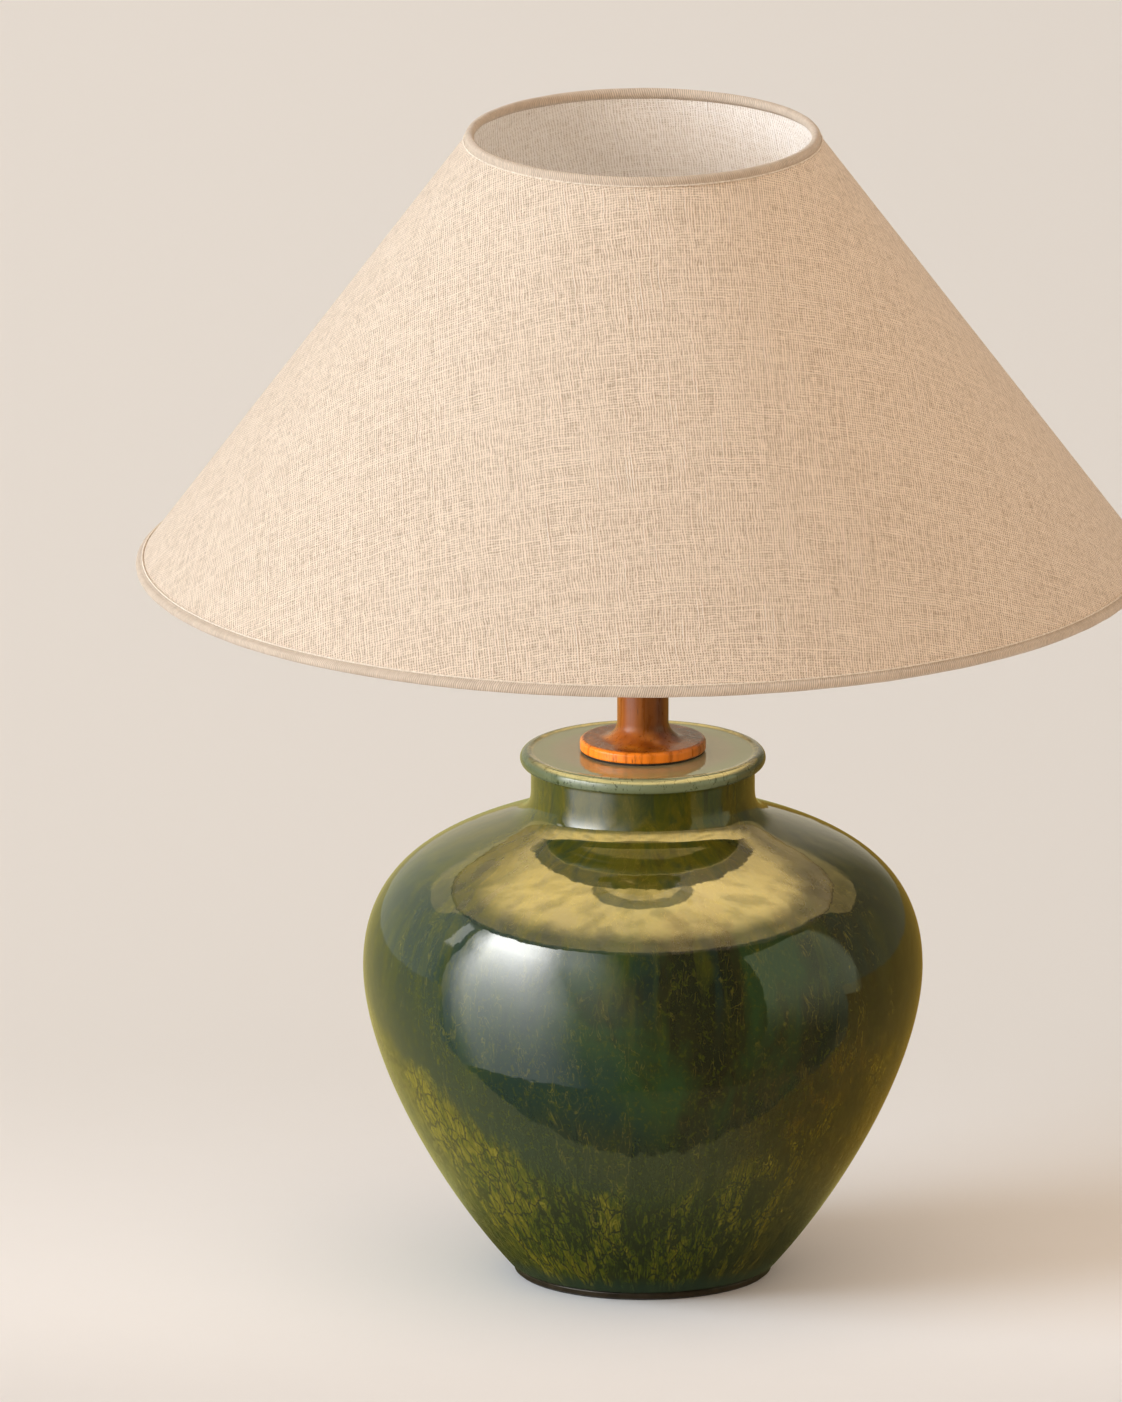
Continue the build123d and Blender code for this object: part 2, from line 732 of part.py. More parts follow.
with BuildPart() as bulb_glass:
    with BuildSketch(Plane.XZ):
        with BuildLine():
            glass_round(0)
            Line((0, equator_z + glass_radius), (0, equator_z + glass_radius - glass_wall))
            glass_round(glass_wall)
            Line((glass_neck_radius, glass_low_z), (glass_neck_radius - glass_wall, glass_low_z))
        make_face()
    revolve(axis=Axis.Z)
bulb_glass.part.label = "bulb_glass"
export_step(bulb_glass.part, "parts/bulb_glass.step")


# Glass stem: flare across the neck, tapering to a thin rod that carries both wire stars
flare_radius = glass_neck_radius - glass_wall - thread_gap
filament_z = equator_z - filament_drop
filament_top_z = filament_z + filament_length
stem_top_z = filament_top_z + star_thickness + stem_height

with BuildPart() as bulb_stem:
    with BuildSketch(Plane.XZ):
        with BuildLine():
            Polyline((0, stem_top_z), (0, glass_low_z), (flare_radius, glass_low_z))
            Line((flare_radius, glass_low_z), (flare_radius, glass_low_z + stem_flare))
            Bezier(
                (flare_radius, glass_low_z + stem_flare),
                (stem_radius, glass_low_z + stem_flare),
                (stem_radius, glass_low_z + stem_taper),
            )
            Polyline((stem_radius, glass_low_z + stem_taper), (stem_radius, stem_top_z), (0, stem_top_z))
        make_face()
    revolve(axis=Axis.Z)
bulb_stem.part.label = "bulb_stem"
export_step(bulb_stem.part, "parts/bulb_stem.step")


# Two wire stars on the rod, with the upright filaments between them
with BuildPart() as filament_stars:
    with BuildSketch(Plane.XY.offset(filament_z - star_thickness), Plane.XY.offset(filament_top_z)):
        Circle(star_hub_radius)
        with PolarLocations(0, filament_count):
            with Locations((star_reach / 2, 0)):
                Rectangle(star_reach, star_arm)
        with PolarLocations(star_reach, filament_count):
            Circle(filament_radius)
        Circle(stem_radius + weld_gap, mode=Mode.SUBTRACT)
    extrude(amount=star_thickness)
filament_stars.part.label = "filament_stars"
export_step(filament_stars.part, "parts/filament_stars.step")

with BuildPart() as bulb_filaments:
    with BuildSketch(Plane.XY.offset(filament_z)):
        with PolarLocations(star_reach, filament_count):
            Circle(filament_radius)
    extrude(amount=filament_length)
bulb_filaments.part.label = "bulb_filaments"
export_step(bulb_filaments.part, "parts/bulb_filaments.step")


# Places on the slant of the shade: along it from the bottom wire, and out from it
roll_radius = ring_wire_radius + tape_gap + tape_thickness
bottom_wire_radius = shade_bottom_diameter / 2 - roll_radius
top_wire_radius = shade_top_diameter / 2 - roll_radius
wire_rise = shade_height - 2 * roll_radius
shade_top_z = shade_bottom_z + wire_rise
lean = atan2(bottom_wire_radius - top_wire_radius, wire_rise)
slant = wire_rise / cos(lean)


def on_slant(along, out):
    radius = bottom_wire_radius - along * sin(lean) + out * cos(lean)
    height = shade_bottom_z + along * cos(lean) + out * sin(lean)
    return (radius, height)


def slant_strip(start, end, low, high, mode=Mode.ADD):
    corners = [on_slant(start, low), on_slant(end, low), on_slant(end, high), on_slant(start, high)]
    return Polygon(*corners, align=None, mode=mode)


# Straight carrier wires from the bottom wire up to the carrier ring
spoke_drop = atan2(carrier_rise, bottom_wire_radius - carrier_radius)
spoke_length = (bottom_wire_radius - carrier_radius + spoke_radius) / cos(spoke_drop)


def spoke_plane(turn):
    start = (bottom_wire_radius * cos(turn), bottom_wire_radius * sin(turn), shade_bottom_z)
    inward = (-cos(turn) * cos(spoke_drop), -sin(turn) * cos(spoke_drop), sin(spoke_drop))
    return Plane(origin=start, z_dir=inward)


spoke_turns = [radians(spoke_turn + 360 / spoke_count * index) for index in range(spoke_count)]
spoke_planes = [spoke_plane(turn) for turn in spoke_turns]


# Steel wire rings
with BuildPart() as bottom_ring:
    with Locations((0, 0, shade_bottom_z)):
        Torus(bottom_wire_radius, ring_wire_radius)
bottom_ring.part.label = "bottom_ring"
export_step(bottom_ring.part, "parts/bottom_ring.step")

with BuildPart() as top_ring:
    with Locations((0, 0, shade_top_z)):
        Torus(top_wire_radius, ring_wire_radius)
top_ring.part.label = "top_ring"
export_step(top_ring.part, "parts/top_ring.step")


# Linen cone and its stiff liner, edge to edge with the wires, the liner notched round the carrier wires
notch_depth = 2 * (roll_radius + tape_flap)
edge_start = ring_wire_radius + cloth_edge_gap
edge_end = slant - edge_start

with BuildPart() as shade_linen:
    with BuildSketch(Plane.XZ):
        slant_strip(edge_start, edge_end, 0, cloth_thickness)
    revolve(axis=Axis.Z)
shade_linen.part.label = "shade_linen"
export_step(shade_linen.part, "parts/shade_linen.step")

with BuildPart() as shade_liner:
    with BuildSketch(Plane.XZ):
        slant_strip(edge_start, edge_end, -weld_gap - liner_thickness, -weld_gap)
    revolve(axis=Axis.Z)
    with BuildSketch(*spoke_planes):
        Circle(spoke_radius + slip_gap)
    extrude(amount=notch_depth, mode=Mode.SUBTRACT)
shade_liner.part.label = "shade_liner"
export_step(shade_liner.part, "parts/shade_liner.step")


# Tape rolled round each wire and folded over both faces of the cone
def tape_section(middle, fold, beyond):
    with Locations(on_slant(middle, 0)):
        Circle(roll_radius)
    outer_face = cloth_thickness + weld_gap
    inner_face = -liner_thickness - 2 * weld_gap
    slant_strip(middle, fold, inner_face - tape_thickness, outer_face + tape_thickness)
    with Locations(on_slant(middle, 0)):
        Circle(ring_wire_radius + tape_gap, mode=Mode.SUBTRACT)
    slant_strip(middle, beyond, inner_face, outer_face, mode=Mode.SUBTRACT)


# The bottom tape is snipped on the inside, from the cloth down, where each carrier wire comes through
snip_arc = 2 * degrees(asin((spoke_radius + slip_gap) / (bottom_wire_radius - notch_depth)))
snip_under = radians(snip_angle)
snip_corners = [
    on_slant(0, 0),
    on_slant(notch_depth, 0),
    (bottom_wire_radius - 2 * notch_depth, shade_bottom_z),
    (bottom_wire_radius - notch_depth * cos(snip_under), shade_bottom_z - notch_depth * sin(snip_under)),
]


def half_plane(turn):
    return Plane((0, 0, 0), x_dir=(cos(turn), sin(turn), 0), z_dir=(sin(turn), -cos(turn), 0))


# Arc by arc, whole between the snips, each arc keeping its own faces
with SkipClean(), BuildPart() as bottom_binding:
    for turn in spoke_turns:
        with BuildSketch(half_plane(turn - radians(snip_arc) / 2)):
            tape_section(0, tape_flap, 2 * tape_flap)
            Polygon(*snip_corners, align=None, mode=Mode.SUBTRACT)
        revolve(axis=Axis.Z, revolution_arc=snip_arc, clean=False)
        with BuildSketch(half_plane(turn + radians(snip_arc) / 2)):
            tape_section(0, tape_flap, 2 * tape_flap)
        revolve(axis=Axis.Z, revolution_arc=360 / spoke_count - snip_arc, clean=False)
bottom_binding.part.label = "bottom_binding"
export_step(bottom_binding.part, "parts/bottom_binding.step")

with BuildPart() as top_binding:
    with BuildSketch(Plane.XZ):
        tape_section(slant, slant - tape_flap, slant - 2 * tape_flap)
    revolve(axis=Axis.Z)
top_binding.part.label = "top_binding"
export_step(top_binding.part, "parts/top_binding.step")


# Carrier: a flat ring round the holder's sleeve and straight wires down to the bottom wire
with BuildPart() as carrier_ring:
    with BuildSketch(Plane.XY.offset(carrier_z)):
        Circle(carrier_radius)
        Circle(sleeve_radius + turn_gap, mode=Mode.SUBTRACT)
    extrude(amount=carrier_thickness)
carrier_ring.part.label = "carrier_ring"
export_step(carrier_ring.part, "parts/carrier_ring.step")

with BuildPart() as carrier_spokes:
    with BuildSketch(*[plane.offset(ring_wire_radius / 2) for plane in spoke_planes]):
        Circle(spoke_radius)
    extrude(amount=spoke_length - ring_wire_radius / 2)
    with Locations((0, 0, carrier_z + carrier_thickness / 2)):
        Cylinder(carrier_radius + weld_gap, 4 * spoke_radius, mode=Mode.SUBTRACT)
    with Locations((0, 0, shade_bottom_z)):
        Torus(bottom_wire_radius, ring_wire_radius + weld_gap, mode=Mode.SUBTRACT)
carrier_spokes.part.label = "carrier_spokes"
export_step(carrier_spokes.part, "parts/carrier_spokes.step")
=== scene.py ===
import math

import bmesh
import bpy
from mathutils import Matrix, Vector, noise


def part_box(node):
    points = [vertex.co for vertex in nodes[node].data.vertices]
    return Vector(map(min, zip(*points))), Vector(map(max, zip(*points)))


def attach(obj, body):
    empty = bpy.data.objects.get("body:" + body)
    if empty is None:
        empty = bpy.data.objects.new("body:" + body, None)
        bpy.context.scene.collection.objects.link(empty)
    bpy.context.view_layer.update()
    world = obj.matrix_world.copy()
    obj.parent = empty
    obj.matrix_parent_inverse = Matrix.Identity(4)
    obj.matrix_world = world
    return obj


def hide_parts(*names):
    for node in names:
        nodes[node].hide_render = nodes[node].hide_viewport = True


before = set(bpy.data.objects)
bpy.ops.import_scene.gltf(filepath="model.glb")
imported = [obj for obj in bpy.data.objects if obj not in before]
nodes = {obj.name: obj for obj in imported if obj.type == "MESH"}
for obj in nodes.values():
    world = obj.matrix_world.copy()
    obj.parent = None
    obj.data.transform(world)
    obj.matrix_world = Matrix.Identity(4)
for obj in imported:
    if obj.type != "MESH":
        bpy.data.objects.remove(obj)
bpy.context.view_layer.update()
scene = bpy.context.scene
mm = 0.001
print("frame loaded with", len(nodes), "CAD nodes")


# node desk: short hands for building materials
def feed(tree, socket, value):
    if isinstance(value, bpy.types.NodeSocket):
        tree.links.new(value, socket)
    elif isinstance(value, tuple) and len(value) == 3 and socket.type == "RGBA":
        socket.default_value = (*value, 1)
    else:
        socket.default_value = value


def put(tree, kind, feeds=None, **settings):
    node = tree.nodes.new("ShaderNode" + kind)
    for key, value in settings.items():
        setattr(node, key, value)
    for key, value in (feeds or {}).items():
        feed(tree, node.inputs[key], value)
    return node


def calc(tree, operation, first, second=0.0, third=0.0, clamp=False):
    feeds = {0: first, 1: second, 2: third}
    return put(tree, "Math", feeds, operation=operation, use_clamp=clamp).outputs[0]


def times(tree, first, second):
    return calc(tree, "MULTIPLY", first, second)


def less(tree, first, second):
    return calc(tree, "SUBTRACT", first, second)


def gain(tree, value, factor, start):
    return calc(tree, "MULTIPLY_ADD", value, factor, start)


def vectors(tree, operation, *values):
    return put(tree, "VectorMath", dict(enumerate(values)), operation=operation).outputs


def scaled(tree, vector, factors):
    return vectors(tree, "MULTIPLY", vector, factors)[0]


def shifted(tree, vector, offset):
    return vectors(tree, "ADD", vector, offset)[0]


def fromAxis(tree, place):
    return vectors(tree, "LENGTH", scaled(tree, place, (1, 1, 0)))["Value"]


def xyz(tree, *values):
    return put(tree, "CombineXYZ", dict(enumerate(values))).outputs[0]


def cloud(tree, vector, scale, detail=4.0, rough=0.55, twist=0.0):
    feeds = {"Vector": vector, "Scale": scale, "Detail": detail, "Roughness": rough, "Distortion": twist}
    return put(tree, "TexNoise", feeds).outputs["Fac"]


def colourCloud(tree, vector, scale, detail):
    feeds = {"Vector": vector, "Scale": scale, "Detail": detail}
    return put(tree, "TexNoise", feeds).outputs["Color"]


def cellEdge(tree, vector, scale):
    feeds = {"Vector": vector, "Scale": scale}
    return put(tree, "TexVoronoi", feeds, feature="DISTANCE_TO_EDGE").outputs["Distance"]


def ease(tree, value, low, high, start=0.0, end=1.0):
    feeds = {"Value": value, "From Min": low, "From Max": high, "To Min": start, "To Max": end}
    return put(tree, "MapRange", feeds, interpolation_type="SMOOTHSTEP").outputs[0]


def blend(tree, amount, first, second):
    return put(tree, "Mix", {0: amount, 6: first, 7: second}, data_type="RGBA").outputs[2]


def either(tree, amount, first, second):
    return put(tree, "MixShader", {0: amount, 1: first, 2: second}).outputs[0]


def dimmed(tree, colour, amount):
    return put(tree, "VectorMath", {0: colour, "Scale": amount}, operation="SCALE").outputs[0]


def ramp(tree, value, stops):
    node = put(tree, "ValToRGB", {"Fac": value})
    marks = node.color_ramp.elements
    while len(marks) < len(stops):
        marks.new(0.5)
    for mark, (place, colour) in zip(marks, stops):
        mark.position = place
        mark.color = (*colour, 1)
    return node.outputs["Color"]


def bump(tree, height, depth, strength=1.0):
    feeds = {"Height": height, "Distance": depth, "Strength": strength}
    return put(tree, "Bump", feeds).outputs["Normal"]


def startFinish(name, **constants):
    finish = bpy.data.materials.new(name)
    finish.use_nodes = True
    shader = finish.node_tree.nodes["Principled BSDF"]
    for key, value in constants.items():
        feed(finish.node_tree, shader.inputs[key.replace("_", " ")], value)
    return finish, finish.node_tree, shader


def cover(tree, shader, colour, normal, rough=None):
    feed(tree, shader.inputs["Base Color"], colour)
    feed(tree, shader.inputs["Normal"], normal)
    if rough is not None:
        feed(tree, shader.inputs["Roughness"], rough)


def inPlace(tree):
    return put(tree, "TexCoord").outputs["Object"]


def onCloth(tree):
    return put(tree, "UVMap", uv_map="cloth").outputs["UV"]


def parts(tree, vector):
    node = put(tree, "SeparateXYZ", {0: vector})
    return node.outputs[0], node.outputs[1], node.outputs[2]


# glaze: dark green and teal, runs under the shoulder, mossy and crackled low down, thin and pale on the lip
glazeLook = {
    "ink": (0.014, 0.019, 0.010),
    "teal": (0.016, 0.035, 0.024),
    "blue": (0.014, 0.038, 0.034),
    "green": (0.030, 0.056, 0.018),
    "slate": (0.026, 0.032, 0.016),
    "dusk": (0.026, 0.026, 0.010),
    "fern": (0.030, 0.042, 0.008),
    "moss": (0.060, 0.071, 0.008),
    "olive": (0.126, 0.108, 0.009),
    "straw": (0.270, 0.228, 0.032),
    "umber": (0.080, 0.046, 0.004),
    "lipGreen": (0.225, 0.265, 0.150),
    "lipGold": (0.480, 0.410, 0.170),
    "deckSheenGreen": (0.270, 0.290, 0.140),
    "deckSheenGrey": (0.300, 0.270, 0.150),
    "runScale": 115.0, "mottleScale": 85.0, "patchScale": 18.0, "fineScale": 330.0,
    "speckScale": 640.0, "wispScale": 190.0, "crackScale": 200.0, "longCrackScale": 70.0,
    "skirtHeight": 0.050, "skirtClimb": 0.062, "beltSpan": (0.046, 0.020), "poolSpan": (0.0165, 0.0110),
    "highSpan": (0.108, 0.148), "shoulderSpan": (0.160, 0.182),
    "lipSpan": (0.2052, 0.2066), "deckSpan": (0.0446, 0.0436),
    "waveDepth": 0.00012,
    "roughness": 0.045,
    "indexOfRefraction": 1.62,
}


def wisp(tree, vector, scale, width, twist):
    # thin wandering lines where a cloud passes its middle value
    off = less(tree, cloud(tree, vector, scale, 3, 0.5, twist), 0.5)
    return ease(tree, calc(tree, "ABSOLUTE", off), width, 0.0)


def mix(tree, *shares):
    # sum of (value, share) pairs
    total = 0.0
    for value, share in shares:
        total = gain(tree, value, share, total)
    return total


def makeGlaze(look):
    finish, tree, shader = startFinish(
        "greenGlaze", Roughness=look["roughness"], IOR=look["indexOfRefraction"]
    )
    place = inPlace(tree)
    x, y, z = parts(tree, place)
    radius = calc(tree, "MAXIMUM", fromAxis(tree, place), 0.001)
    sideways = calc(tree, "DIVIDE", x, radius)
    turned = calc(tree, "DIVIDE", ease(tree, z, 0.150, 0.200, 0.100, 0.060), radius)
    around = xyz(tree, times(tree, x, turned), times(tree, y, turned), z)

    def drawn(pull, scale, *grain):
        # a cloud drawn out down the wall
        return cloud(tree, scaled(tree, around, pull), look[scale], *grain)

    run = drawn((1, 1, 0.16), "runScale", 5, 0.55, 0.6)
    blueRun = drawn((0.8, 0.8, 0.13), "runScale", 3, 0.5, 0.4)
    mottle = drawn((1, 1, 0.42), "mottleScale", 8, 0.68, 1.0)
    patch = drawn((1, 1, 0.6), "patchScale", 4, 0.55, 0.6)
    fine = drawn((1, 1, 0.34), "fineScale", 6, 0.70, 1.6)
    speck = drawn((1, 1, 0.7), "speckScale", 3, 0.6, 0.8)

    # zones: mossy skirt, higher at the sides, slate belt over it, runs on the shoulder, pool at the foot
    # partly painted reflection: the skirt's edge rising towards the sides and the dark slate belt over it
    # follow the mirrored floor's edge; the moss and cracks below it are the glaze's own
    skirt = gain(tree, times(tree, sideways, sideways), look["skirtClimb"], look["skirtHeight"])
    above = less(tree, z, mix(tree, (less(tree, mottle, 0.5), 0.032), (skirt, 1.0)))
    low = ease(tree, above, 0.008, -0.008)
    belt = times(tree, ease(tree, above, *look["beltSpan"]), less(tree, 1.0, low))
    pool = ease(tree, gain(tree, mottle, 0.010, z), *look["poolSpan"])
    high = ease(tree, z, *look["highSpan"])
    # painted light and shade: the glaze is painted paler on the left, where the key light falls, and
    # browner and darker on the right, its shaded side
    paintedLitLeft = ease(tree, sideways, -0.05, -0.80)
    paintedShadeRight = ease(tree, sideways, 0.25, 0.85)

    # the sideways share darkens the body towards the right, painted shade
    bodyTone = mix(tree, (patch, 0.75), (mottle, 0.25), (sideways, 0.22))
    body = ramp(tree, bodyTone, [
        (0.38, look["teal"]), (0.52, look["green"]), (0.62, look["dusk"]), (0.72, look["ink"])])
    runTone = ramp(tree, mix(tree, (fine, 0.35), (run, 0.65)), [
        (0.42, look["green"]), (0.55, look["moss"]), (0.70, look["olive"])])
    shoulder = ease(tree, z, *look["shoulderSpan"])
    runAmount = ease(tree, mix(tree, (run, 1.0), (paintedLitLeft, 0.05), (shoulder, 0.14)), 0.49, 0.64)
    runAmount = times(tree, runAmount, gain(tree, shoulder, 0.40, 0.50))
    upper = blend(tree, times(tree, runAmount, high), body, runTone)
    blueAmount = times(tree, ease(tree, blueRun, 0.53, 0.66, 0.0, 0.4), high)
    upper = blend(tree, blueAmount, upper, look["blue"])
    oliveAmount = times(tree, shoulder, ease(tree, mottle, 0.38, 0.60, 0.15, 0.75))
    upper = blend(tree, oliveAmount, upper, look["olive"])
    slate = ramp(tree, mix(tree, (fine, 0.4), (mottle, 0.6)), [
        (0.40, look["ink"]), (0.52, look["slate"]), (0.66, look["dusk"])])
    beltAmount = times(tree, belt, gain(tree, paintedLitLeft, -0.7, 0.85))
    upper = blend(tree, beltAmount, upper, slate)
    speckAmount = times(tree, ease(tree, speck, 0.55, 0.66, 0.0, 0.60), ease(tree, z, 0.165, 0.145))
    upper = blend(tree, speckAmount, upper, look["moss"])

    footward = ease(tree, z, 0.050, 0.012, 0.0, 0.05)
    grown = mix(tree, (fine, 0.55), (mottle, 0.45), (paintedLitLeft, 0.100), (patch, 0.20), (footward, 0.6),
                (speck, 0.12), (paintedShadeRight, -0.03))
    lower = ramp(tree, less(tree, grown, 0.185), [
        (0.435, look["ink"]), (0.485, look["fern"]), (0.535, look["moss"]), (0.605, look["olive"]),
        (0.76, look["straw"])])
    colour = blend(tree, low, upper, lower)
    # the brown on the right side is painted shade
    brownTone = ease(tree, mix(tree, (fine, 0.5), (mottle, 0.5)), 0.40, 0.62)
    brown = blend(tree, brownTone, look["dusk"], look["umber"])
    brownAmount = times(tree, paintedShadeRight, ease(tree, mottle, 0.35, 0.65, 0.45, 0.85))
    brownAmount = times(tree, brownAmount, ease(tree, z, 0.125, 0.085, 0.18, 1.0))
    colour = blend(tree, brownAmount, colour, brown)

    # painted shade: the upper right side is darkened towards ink
    paintedUpperRightShade = times(tree, ease(tree, sideways, 0.50, 0.85, 0.0, 0.5), ease(tree, z, 0.105, 0.125))
    colour = blend(tree, paintedUpperRightShade, colour, look["ink"])

    # short pale strokes, a net of fine dark cracks with pale lips (partly the glaze's own pale veins,
    # partly a painted highlight), long cracks up from the foot
    stroke = wisp(tree, scaled(tree, around, (1, 1, 0.34)), look["wispScale"], 0.022, 1.6)
    strokeAmount = times(tree, stroke, ease(tree, mottle, 0.46, 0.60, 0.0, 0.75))
    strokeAmount = times(tree, strokeAmount, gain(tree, low, 0.45, 0.35))
    colour = blend(tree, strokeAmount, colour, look["straw"])
    shake = scaled(tree, colourCloud(tree, around, 110.0, 3.0), (0.009, 0.009, 0.009))
    shaken = shifted(tree, scaled(tree, around, (1, 1, 0.55)), shake)
    net = cellEdge(tree, shaken, look["crackScale"])
    crack = times(tree, ease(tree, net, 0.095, 0.025), ease(tree, fine, 0.34, 0.48))
    crackLipAndHighlight = times(tree, ease(tree, net, 0.050, 0.070), ease(tree, net, 0.130, 0.085))
    crackLipAndHighlight = times(tree, crackLipAndHighlight, ease(tree, mottle, 0.44, 0.60, 0.0, 0.45))
    long = cellEdge(tree, scaled(tree, shaken, (1, 1, 0.36)), look["longCrackScale"])
    longCrack = times(tree, ease(tree, long, 0.022, 0.006), ease(tree, mottle, 0.40, 0.56))
    cracks = times(tree, calc(tree, "MAXIMUM", crack, longCrack), low)
    grit = ease(tree, speck, 0.46, 0.62, 0.0, 0.25)
    layers = [(grit, low, "fern"), (crackLipAndHighlight, low, "olive"), (cracks, 0.85, "ink"), (pool, 0.8, "teal")]
    for mark, amount, tone in layers:
        colour = blend(tree, times(tree, mark, amount), colour, look[tone])

    # thin glaze on the rolled lip, gold along its crest, smooth on the flat deck inside it, whose pale
    # grey-green is partly painted reflection of the backdrop
    lipTone = look["lipGreen"]
    # the lip is painted darker towards both sides as seen, green on the left and dusk on the right: painted
    # shade; the specks and mottle are the glaze's own
    lipMarks = [
        (speck, 0.58, 0.66, 0.8, "fern"), (mottle, 0.48, 0.66, 0.5, "green"),
        (sideways, -0.55, -0.95, 0.6, "green"), (sideways, 0.45, 0.95, 0.8, "dusk"),
    ]
    for value, first, last, amount, tone in lipMarks:
        lipTone = blend(tree, ease(tree, value, first, last, 0.0, amount), lipTone, look[tone])
    colour = blend(tree, ease(tree, z, *look["lipSpan"]), colour, lipTone)
    # painted reflection: the deck's pale tone stands partly for the backdrop mirrored in it
    deckTone = blend(tree, ease(tree, radius, 0.040, 0.032), look["deckSheenGreen"], look["deckSheenGrey"])
    deck = times(tree, ease(tree, radius, *look["deckSpan"]), ease(tree, z, 0.2085, 0.2105))
    colour = blend(tree, deck, colour, deckTone)
    crest = times(tree, ease(tree, radius, 0.0428, 0.0438), ease(tree, radius, 0.0462, 0.0448))
    crestGold = times(tree, ease(tree, z, 0.2098, 0.2112), ease(tree, run, 0.34, 0.56, 0.9, 0.35))
    crest = times(tree, crest, crestGold)
    colour = blend(tree, crest, colour, look["lipGold"])

    swell, ripple = cloud(tree, place, 60, 2, 0.5), cloud(tree, place, 160, 2, 0.5)
    wave = mix(tree, (swell, 1.0), (ripple, 0.40), (cracks, -0.12))
    cover(tree, shader, colour, bump(tree, wave, look["waveDepth"]))
    return finish


# linen: open plain weave laid out on the flat cut, uneven threads, pits where the gaps cross
linenLook = {
    "name": "naturalLinen",
    "pale": (0.860, 0.695, 0.540),
    "deep": (0.560, 0.420, 0.300),
    "gap": (0.300, 0.205, 0.130),
    "pitch": 0.00108,
    "relief": 0.00042,
}
linerLook = {
    "name": "linerCloth",
    "pale": (0.950, 0.890, 0.830),
    "deep": (0.800, 0.710, 0.620),
    "gap": (0.420, 0.330, 0.250),
    "pitch": 0.00112,
    "relief": 0.00030,
}


def makeWeave(look):
    finish, tree, shader = startFinish(
        look["name"], Roughness=0.86, Sheen_Weight=0.25, Sheen_Roughness=0.5, Specular_IOR_Level=0.25
    )
    flat = onCloth(tree)
    centred = vectors(tree, "SUBTRACT", colourCloud(tree, flat, 60.0, 3.0), (0.5, 0.5, 0.5))[0]
    laid = shifted(tree, flat, scaled(tree, centred, (0.0022, 0.0022, 0.0)))
    shiver = colourCloud(tree, flat, 420.0, 2.0)
    laid = shifted(tree, laid, scaled(tree, shiver, (0.0008, 0.0008, 0.0)))
    across, along, _ = parts(tree, scaled(tree, laid, (1 / look["pitch"], 1 / look["pitch"], 1)))

    def oneWay(count, length):
        # rise over each thread and its own tone, which changes slowly along it
        rise = calc(tree, "ABSOLUTE", calc(tree, "SINE", times(tree, count, math.pi)))
        own = xyz(tree, times(tree, calc(tree, "FLOOR", count), 1.37), times(tree, length, 0.030))
        return rise, cloud(tree, own, 1.0, 2, 0.6)

    warpRise, warpTone = oneWay(across, along)
    weftRise, weftTone = oneWay(along, across)
    warpTop = times(tree, warpRise, gain(tree, warpTone, 1.2, 0.42))
    weftTop = times(tree, weftRise, gain(tree, weftTone, 1.2, 0.30))
    thread = calc(tree, "MAXIMUM", warpTop, weftTop)
    slub = calc(tree, "MAXIMUM", times(tree, ease(tree, warpTone, 0.58, 0.72), warpRise),
                times(tree, ease(tree, weftTone, 0.58, 0.72), weftRise))

    def fibres(acrossScale, alongScale, detail):
        return cloud(tree, scaled(tree, laid, (acrossScale, alongScale, 1)), 1.0, detail, 0.6)

    tone = fibres(150, 150, 4)
    fuzz = fibres(900, 900, 3)
    upright = fibres(1000, 230, 2)
    level = fibres(230, 1000, 2)
    body = mix(tree, (thread, 0.75), (fuzz, 0.35), (upright, 0.60), (level, 0.50), (tone, 0.10),
               (-0.56, 1.0))
    colour = ramp(tree, body, [(0.36, look["gap"]), (0.62, look["deep"]), (0.98, look["pale"])])
    colour = blend(tree, times(tree, slub, 0.70), colour, look["pale"])
    height = mix(tree, (slub, 0.6), (thread, 0.8), (fuzz, 0.4), (upright, 0.5), (level, 0.4))
    cover(tree, shader, colour, bump(tree, height, look["relief"], 0.9))
    return finish


# tape of the two rims: ribs across it, each a little different
tapeLook = {
    "pale": (0.760, 0.610, 0.470),
    "deep": (0.360, 0.265, 0.185),
    "rib": 0.00090,
    "relief": 0.00022,
}


def makeTape(look):
    finish, tree, shader = startFinish(
        "rimTape", Roughness=0.84, Sheen_Weight=0.2, Sheen_Roughness=0.5, Specular_IOR_Level=0.25
    )
    flat = onCloth(tree)
    along, over, _ = parts(tree, flat)
    waver = times(tree, cloud(tree, flat, 260, 2, 0.5), 0.0009)
    count = calc(tree, "DIVIDE", mix(tree, (along, 1.0), (over, 0.25), (waver, 1.0)), look["rib"])
    rib = calc(tree, "ABSOLUTE", calc(tree, "SINE", times(tree, count, math.pi)))
    own = xyz(tree, times(tree, calc(tree, "FLOOR", count), 1.37), times(tree, over, 300.0))
    ribTone = cloud(tree, own, 1.0, 2, 0.6)
    amount = mix(tree, (rib, 0.55), (ribTone, 0.55), (cloud(tree, flat, 60, 3, 0.6), 0.30))
    colour = ramp(tree, amount, [(0.40, look["deep"]), (1.05, look["pale"])])
    height = mix(tree, (rib, 0.7), (ribTone, 0.5))
    cover(tree, shader, colour, bump(tree, height, look["relief"], 0.9))
    return finish


# sewing thread of the hem lines
threadLook = {"pale": (0.900, 0.780, 0.640), "deep": (0.640, 0.510, 0.380)}


def makeThread(look):
    finish, tree, shader = startFinish("hemThread", Roughness=0.8, Sheen_Weight=0.2)
    tone = cloud(tree, inPlace(tree), 900, 3, 0.6)
    colour = ramp(tree, tone, [(0.3, look["deep"]), (0.65, look["pale"])])
    cover(tree, shader, colour, bump(tree, tone, 0.0001))
    return finish


